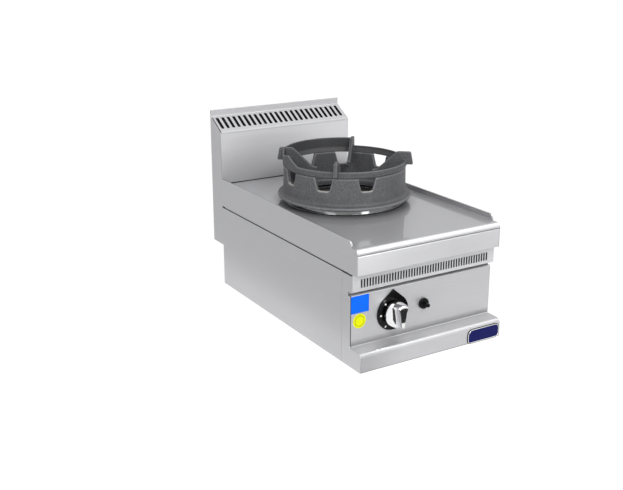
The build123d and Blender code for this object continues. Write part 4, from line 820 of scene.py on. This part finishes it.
class WOK_OT_castings(bpy.types.Operator):
    """Cast wok stand, wok ring and burner"""
    bl_idname = "wok_range.castings"
    bl_label = "Castings"

    def execute(self, context):
        iron = cast_iron("cast_iron_coated", colours().iron, sizes().cast_grain)
        low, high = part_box("wok_stand")
        # These marks give the castings painted shade on faces that look inwards and a painted highlight on
        # the window sills.
        wear = {"middle_y": (low.y + high.y) / 2, "sill": low.z + 50 * MM,
                "inner": 146 * MM, "outer": 154 * MM}
        cast("wok_stand", iron, sizes().stand_voxel, 2, wear)
        # The ring's iron is painted darker than the stand's and takes more of the inward painted shade.
        dark = cast_iron("cast_iron_ring", shade(colours().iron, 0.80), sizes().cast_grain, 0.6)
        cast("wok_ring", dark, sizes().ring_voxel, 3, wear)
        burner = cast_iron("cast_iron_burner", shade(colours().iron, 0.9), sizes().cast_grain * 0.8)
        for node in ("burner_body", "burner_cap"):
            dressed(node, burner, 0.5 * MM)
        return {"FINISHED"}


class WOK_OT_controls(bpy.types.Operator):
    """Gas knob, its bezel with three marks, and the igniter button"""
    bl_idname = "wok_range.controls"
    bl_label = "Controls"

    mark_turns: bpy.props.FloatVectorProperty(
        name="Mark turns", description="Places of the bezel's marks, from the right, anticlockwise",
        default=(math.radians(133), math.radians(184), math.radians(237)), size=3, subtype="EULER")
    mark_radii: bpy.props.FloatVectorProperty(
        name="Mark radii", description="Distances of the bezel's marks from the knob's axis",
        default=(31.5 * MM, 33.2 * MM, 36.8 * MM), size=3)

    def execute(self, context):
        enamel = moulded("gloss_enamel", colours().enamel, 0.14, gloss=0.16)
        plastic = moulded("black_plastic", colours().plastic, 0.32, gloss=0.1)
        white = printed("white_print", (0.82, 0.82, 0.80))
        dressed("knob_bezel", enamel, 0.3 * MM)
        dressed("knob", polished("chromed_knob", shade(colours().chrome, 1.12), 0.05), 0.5 * MM)
        for node in ("igniter_body", "igniter_button", "igniter_nut"):
            dressed(node, plastic, 0.4 * MM)
        low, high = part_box("knob")
        middle, face = (low + high) / 2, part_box("knob_bezel")[0].y + 0.05 * MM
        outline = rounded_outline(5.6 * MM, 4.2 * MM, [2.0 * MM] * 4, 5)
        mark = plate_surface(outline, 0.2 * MM, 0.1 * MM, 0.1 * MM)
        for number, (turn, radius) in enumerate(zip(self.mark_turns, self.mark_radii), 1):
            place = (middle.x + radius * math.cos(turn), face, middle.z + radius * math.sin(turn))
            place = facing(place, FRONT) @ Matrix.Rotation(turn, 4, "Z")
            stuck_on(f"bezel_mark_{number}", mark, place, white)
        return {"FINISHED"}


class WOK_OT_plates(bpy.types.Operator):
    """Bare adhesive plates on the panel and the domed badge on the foot"""
    bl_idname = "wok_range.plates"
    bl_label = "Plates and badge"

    def execute(self, context):
        thickness, rise = sizes().plate_thickness, sizes().badge_rise
        panel_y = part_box("knob_bezel")[1].y
        outline = rounded_outline(47.5 * MM, 41 * MM, [1.5 * MM] * 4, 4)
        stuck_on("blue_plate", plate_surface(outline, thickness, thickness / 2, 0),
                 facing((-173.6 * MM, panel_y, 144.3 * MM), FRONT), printed("blue_film", colours().blue))
        x, z, radius = -174.6 * MM, 104.4 * MM, 17 * MM
        disc = rounded_outline(radius * 2, radius * 2, [radius] * 4, 16)
        film = printed("yellow_film", colours().yellow, ring=(x, z, 11 * MM, 13 * MM))
        stuck_on("yellow_plate", plate_surface(disc, thickness, thickness / 2, 0),
                 facing((x, panel_y, z), FRONT), film)
        width, height, margin = 97 * MM, 36.4 * MM, 2.3 * MM
        place = facing((149.3 * MM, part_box("control_panel")[0].y, 18.5 * MM), FRONT)
        outline = rounded_outline(width, height, [14 * MM, 15 * MM, 9 * MM, 13 * MM], 14)
        drawn_in = outline * (1 - 2 * margin / width, 1 - 2 * margin / height)
        stuck_on("badge_body", plate_surface(outline, rise * 0.75, 0.4 * MM, 0), place,
                 moulded("badge_back", colours().plastic, 0.3, gloss=0.1))
        stuck_on("badge_field", plate_surface(drawn_in, rise * 0.85, 0.3 * MM, rise * 0.15), place,
                 moulded("badge_enamel", colours().navy, 0.2, gloss=0.12))
        stuck_on("badge_rim", bead_surface(outline, margin, 0.9 * MM, rise * 0.75), place,
                 polished("badge_silver", colours().chrome, 0.12), closed_end=True)
        return {"FINISHED"}


class WOK_OT_gas_line(bpy.types.Operator):
    """Gas valve, pipes, pilot group and the threaded gas inlet"""
    bl_idname = "wok_range.gas_line"
    bl_label = "Gas line"

    def execute(self, context):
        steel = turned_metal("burner_steel", (0.42, 0.41, 0.40), 0.34, 0.3)
        brass = turned_metal("machined_brass", colours().brass)
        copper = turned_metal("drawn_copper", colours().copper, 0.24, 0.45)
        for group, finish in ((BURNER_STEEL, steel), (BRASS, brass), (COPPER, copper)):
            for node in group:
                dressed(node, finish, 0.3 * MM if node == "gas_valve" else 0)
        dressed("spark_electrode", moulded("white_ceramic", (0.72, 0.70, 0.66), 0.2, coat=0.5))
        dressed("ignition_lead", moulded("lead_sleeve", (0.30, 0.045, 0.02), 0.45))
        low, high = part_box("inlet_nipple")
        inner_face = low.y
        outer_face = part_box("rear_panel")[1].y
        flange, thickness, bore, thread = (high.x - low.x) / 2, 5 * MM, 6.5 * MM, 10.48 * MM
        out, end = outer_face - inner_face, high.y - inner_face
        hub = lathe_surface([(bore, 0), (flange, 0), (flange, thickness), (thread - MM, thickness),
                             (thread - MM, out), (flange, out), (flange, out + thickness)])
        screw = thread_surface(thread, sizes().thread_depth, sizes().thread_pitch, out + thickness, end)
        rows = np.concatenate([hub, screw, lathe_surface([(bore, end)])], axis=0)
        nipple = grid_mesh("inlet_nipple_threaded", rows, closed_end=True)
        placed(nipple, facing(((low.x + high.x) / 2, inner_face, (low.z + high.z) / 2), BACK))
        in_place_of("inlet_nipple", nipple.name, nipple, brass, 40.0)
        return {"FINISHED"}


class WOK_OT_fixings(bpy.types.Operator):
    """Screws of the back, the valve and the burner"""
    bl_idname = "wok_range.fixings"
    bl_label = "Fixings"

    def execute(self, context):
        zinc = turned_metal("zinc_plate", (0.60, 0.60, 0.58), 0.25, 0.2)
        for node in ("valve_screws", "burner_screws"):
            dressed(node, zinc, 0.4 * MM)
        low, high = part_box("rear_screws")
        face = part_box("rear_panel")[1].y
        radius = 4 * MM
        heads = []
        for x in (low.x + radius, high.x - radius):
            for z in (low.z + radius, high.z - radius):
                head = grid_mesh("screw_head", screw_head_surface(radius, high.y - face, 0.6))
                heads.append(placed(head, facing((x, face, z), BACK)))
        mesh = joined("rear_screws_crossed", heads)
        in_place_of("rear_screws", mesh.name, mesh, zinc)
        return {"FINISHED"}


# Studio, in metres
MIDDLE, COLLAR, KNOB = (0, 0, 0.2), (0, -0.13, 0.28), (-0.0855, -0.35, 0.1075)
UP = None       # a card that lies on the floor and looks up
CARDS = (       # name, place, what it looks at, size, glow
    ("rear_card", (0.8, 3.0, 1.6), (0, 0, 0.4), (9.0, 4.5), 0.72),
    ("left_floor_card", (-2.1, 1.3, 0.001), UP, (3.6, 4.2), 0.70),
    ("low_right_card", (0.33, -2.58, 0.55), COLLAR, (0.62, 0.70), 7.0),
    ("low_left_card", (-2.06, -1.23, 0.50), COLLAR, (0.80, 0.60), 2.6),
    ("edge_card", (1.12, -1.02, 2.05), (0, -0.35, 0.28), (1.5, 1.1), 3.6),
    ("knob_streak", (-0.228, -0.40, 0.001), UP, (0.06, 0.07), 0.05),
    ("front_strip", (0.06, -0.60, 0.001), UP, (0.24, 0.12), 0.03),
    ("front_floor_card", (0.36, -1.10, 0.001), UP, (0.70, 0.60), 0.15),
    ("left_strip", (-0.46, -0.52, 0.001), UP, (0.16, 0.26), 0.03),
    ("knob_flag", (-0.42, -0.95, 0.16), KNOB, (0.16, 0.5), 0.04),
)


class WOK_OT_stage(bpy.types.Operator):
    """Studio floor, soft lamps, reflecting cards, white surroundings and the camera"""
    bl_idname = "wok_range.stage"
    bl_label = "Studio"

    key: bpy.props.FloatProperty(
        name="Key", description="Power of the key lamp", default=62.0, unit="POWER")
    fill: bpy.props.FloatProperty(
        name="Fill", description="Power of the fill lamp", default=19.0, unit="POWER")

    def execute(self, context):
        self.floor()
        self.surroundings()
        lamp("key_lamp", (-0.45, -2.85, 2.6), (1.1, 0.9), self.key)
        lamp("fill_lamp", (-2.3, -1.4, 1.9), (0.9, 0.9), self.fill)
        for name, place, target, size, level in CARDS:
            card(name, place, target, size, level)
        camera()
        return {"FINISHED"}

    def floor(self):
        """A wide floor: white to the camera and in reflections, and a plain pale one for its shadow and
        light."""
        made = Finish("studio_floor", Roughness=0.9)
        clouds = made.noise(3, 2.0, 0.5) * 0.05
        made.set(Base_Color=made.mix(clouds, colours().floor, shade(colours().floor, 0.98)))
        camera_ray, glossy_ray = (made.node("ShaderNodeLightPath", output=number) for number in (0, 3))
        seen = (camera_ray + glossy_ray).clamped()
        glow = made.node("ShaderNodeEmission", {}, {"Color": (1, 1, 1), "Strength": seen * 0.95})
        black = made.node("ShaderNodeEmission", {}, {"Strength": 0.0})
        lit = Flow(made, made.shader.outputs[0])
        scaled = made.node("ShaderNodeMixShader", {}, {0: seen * 0.86, 1: lit, 2: black})
        total = made.node("ShaderNodeAddShader", {}, {0: scaled, 1: glow})
        made.tree.links.new(total.socket, made.output.inputs["Surface"])
        mesh = bpy.data.meshes.new("floor")
        far = 30.0
        mesh.from_pydata([(-far, -far, 0), (far, -far, 0), (far, far, 0), (-far, far, 0)], [], [(0, 1, 2, 3)])
        mesh.transform(Matrix.Translation((0, 0, -0.2 * MM)))
        mesh.materials.append(made.material)
        made_floor = bpy.data.objects.new("floor", mesh)
        bpy.context.scene.collection.objects.link(made_floor)

    def surroundings(self):
        """Plain white to the camera and in reflections, and a dimmer even light on the object."""
        world = bpy.data.worlds.new("studio_white")
        bpy.context.scene.world = world
        world.use_nodes = True
        tree = world.node_tree
        tree.nodes.clear()
        path = tree.nodes.new("ShaderNodeLightPath")
        seen = path.outputs["Is Camera Ray"]
        for ray in ("Is Glossy Ray", "Is Transmission Ray"):
            plus = tree.nodes.new("ShaderNodeMath")
            plus.use_clamp = True
            tree.links.new(seen, plus.inputs[0])
            tree.links.new(path.outputs[ray], plus.inputs[1])
            seen = plus.outputs[0]
        choice = tree.nodes.new("ShaderNodeMixShader")
        tree.links.new(seen, choice.inputs[0])
        for socket, strength in ((1, 0.46), (2, 1.0)):
            light = tree.nodes.new("ShaderNodeBackground")
            light.inputs["Color"].default_value = (1, 1, 1, 1)
            light.inputs["Strength"].default_value = strength
            tree.links.new(light.outputs[0], choice.inputs[socket])
        tree.links.new(choice.outputs[0], tree.nodes.new("ShaderNodeOutputWorld").inputs[0])


def lamp(name, place, size, power):
    """A soft rectangular lamp that looks at the object's middle."""
    light = bpy.data.lights.new(name, "AREA")
    light.shape = "RECTANGLE"
    light.size, light.size_y = size
    light.energy = power
    made = bpy.data.objects.new(name, light)
    made.matrix_world = facing(place, Vector(place) - Vector(MIDDLE))
    bpy.context.scene.collection.objects.link(made)


def card(name, place, target, size, level):
    """A grey studio card that only reflections see."""
    made = Finish(name + "_paper")
    glow = made.node("ShaderNodeEmission", {}, {"Color": (1, 1, 1), "Strength": level})
    made.tree.links.new(glow.socket, made.output.inputs["Surface"])
    x, y = size[0] / 2, size[1] / 2
    mesh = bpy.data.meshes.new(name)
    mesh.from_pydata([(-x, -y, 0), (x, -y, 0), (x, y, 0), (-x, y, 0)], [], [(0, 1, 2, 3)])
    mesh.materials.append(made.material)
    flat = bpy.data.objects.new(name, mesh)
    flat.matrix_world = facing(place, Vector(target) - Vector(place) if target else (0, 0, 1))
    flat.visible_camera = flat.visible_diffuse = flat.visible_shadow = False
    bpy.context.scene.collection.objects.link(flat)


def camera():
    """The photograph's camera: its frame, focal length and centre in pixels, carried to a 36 mm sensor."""
    width, height, focal = 623.0, 490.0, 961.46
    centre_x, centre_y = 330.22, 235.53
    data = bpy.data.cameras.new("camera")
    data.sensor_width = 36.0
    data.lens = focal * data.sensor_width / width
    data.shift_x = (width / 2 - centre_x) / width
    data.shift_y = (centre_y - height / 2) / width
    data.clip_start, data.clip_end = 0.05, 100
    right = Vector((0.84740868, -0.53092313, 0.00437683))
    up = Vector((0.15724015, 0.25882836, 0.95303904))
    ahead = Vector((0.50712332, 0.80692534, -0.30281583))
    made = bpy.data.objects.new("camera", data)
    made.matrix_world = Matrix.Translation((-1.27700, -1.95172, 0.92739)) @ Matrix(
        (right, up, -ahead)).transposed().to_4x4()
    bpy.context.scene.collection.objects.link(made)
    bpy.context.scene.camera = made


class WOK_PT_sidebar(bpy.types.Panel):
    """Lists the range's pieces"""
    bl_idname = "WOK_PT_sidebar"
    bl_label = "Wok range"
    bl_space_type = "VIEW_3D"
    bl_region_type = "UI"
    bl_category = "Wok range"

    def draw(self, context):
        for operator in OPERATORS:
            self.layout.operator(operator.bl_idname)
        for group in (context.scene.wok_range_sizes, context.scene.wok_range_colours):
            box = self.layout.box()
            for name in group.__annotations__:
                box.prop(group, name)


OPERATORS = (WOK_OT_casing, WOK_OT_hob, WOK_OT_castings, WOK_OT_controls, WOK_OT_plates, WOK_OT_gas_line,
             WOK_OT_fixings, WOK_OT_stage)
CLASSES = (RangeSizes, RangeColours, *OPERATORS, WOK_PT_sidebar)


def register():
    """Registers the classes and puts the sizes and colours on the scene."""
    for kind in CLASSES:
        bpy.utils.register_class(kind)
    bpy.types.Scene.wok_range_sizes = bpy.props.PointerProperty(type=RangeSizes)
    bpy.types.Scene.wok_range_colours = bpy.props.PointerProperty(type=RangeColours)


def unregister():
    """Takes the sizes, colours and classes away again."""
    del bpy.types.Scene.wok_range_colours
    del bpy.types.Scene.wok_range_sizes
    for kind in reversed(CLASSES):
        bpy.utils.unregister_class(kind)


def main():
    register()
    scene = bpy.context.scene
    for old in [o for o in scene.objects if o.type in ("LIGHT", "CAMERA") or o.name == "Cube"]:
        bpy.data.objects.remove(old)
    scene.view_settings.view_transform = "Standard"
    bpy.ops.wok_range.casing()
    bpy.ops.wok_range.hob()
    bpy.ops.wok_range.castings()
    bpy.ops.wok_range.controls()
    bpy.ops.wok_range.plates()
    bpy.ops.wok_range.gas_line()
    bpy.ops.wok_range.fixings()
    bpy.ops.wok_range.stage()


if __name__ == "__main__":
    main()
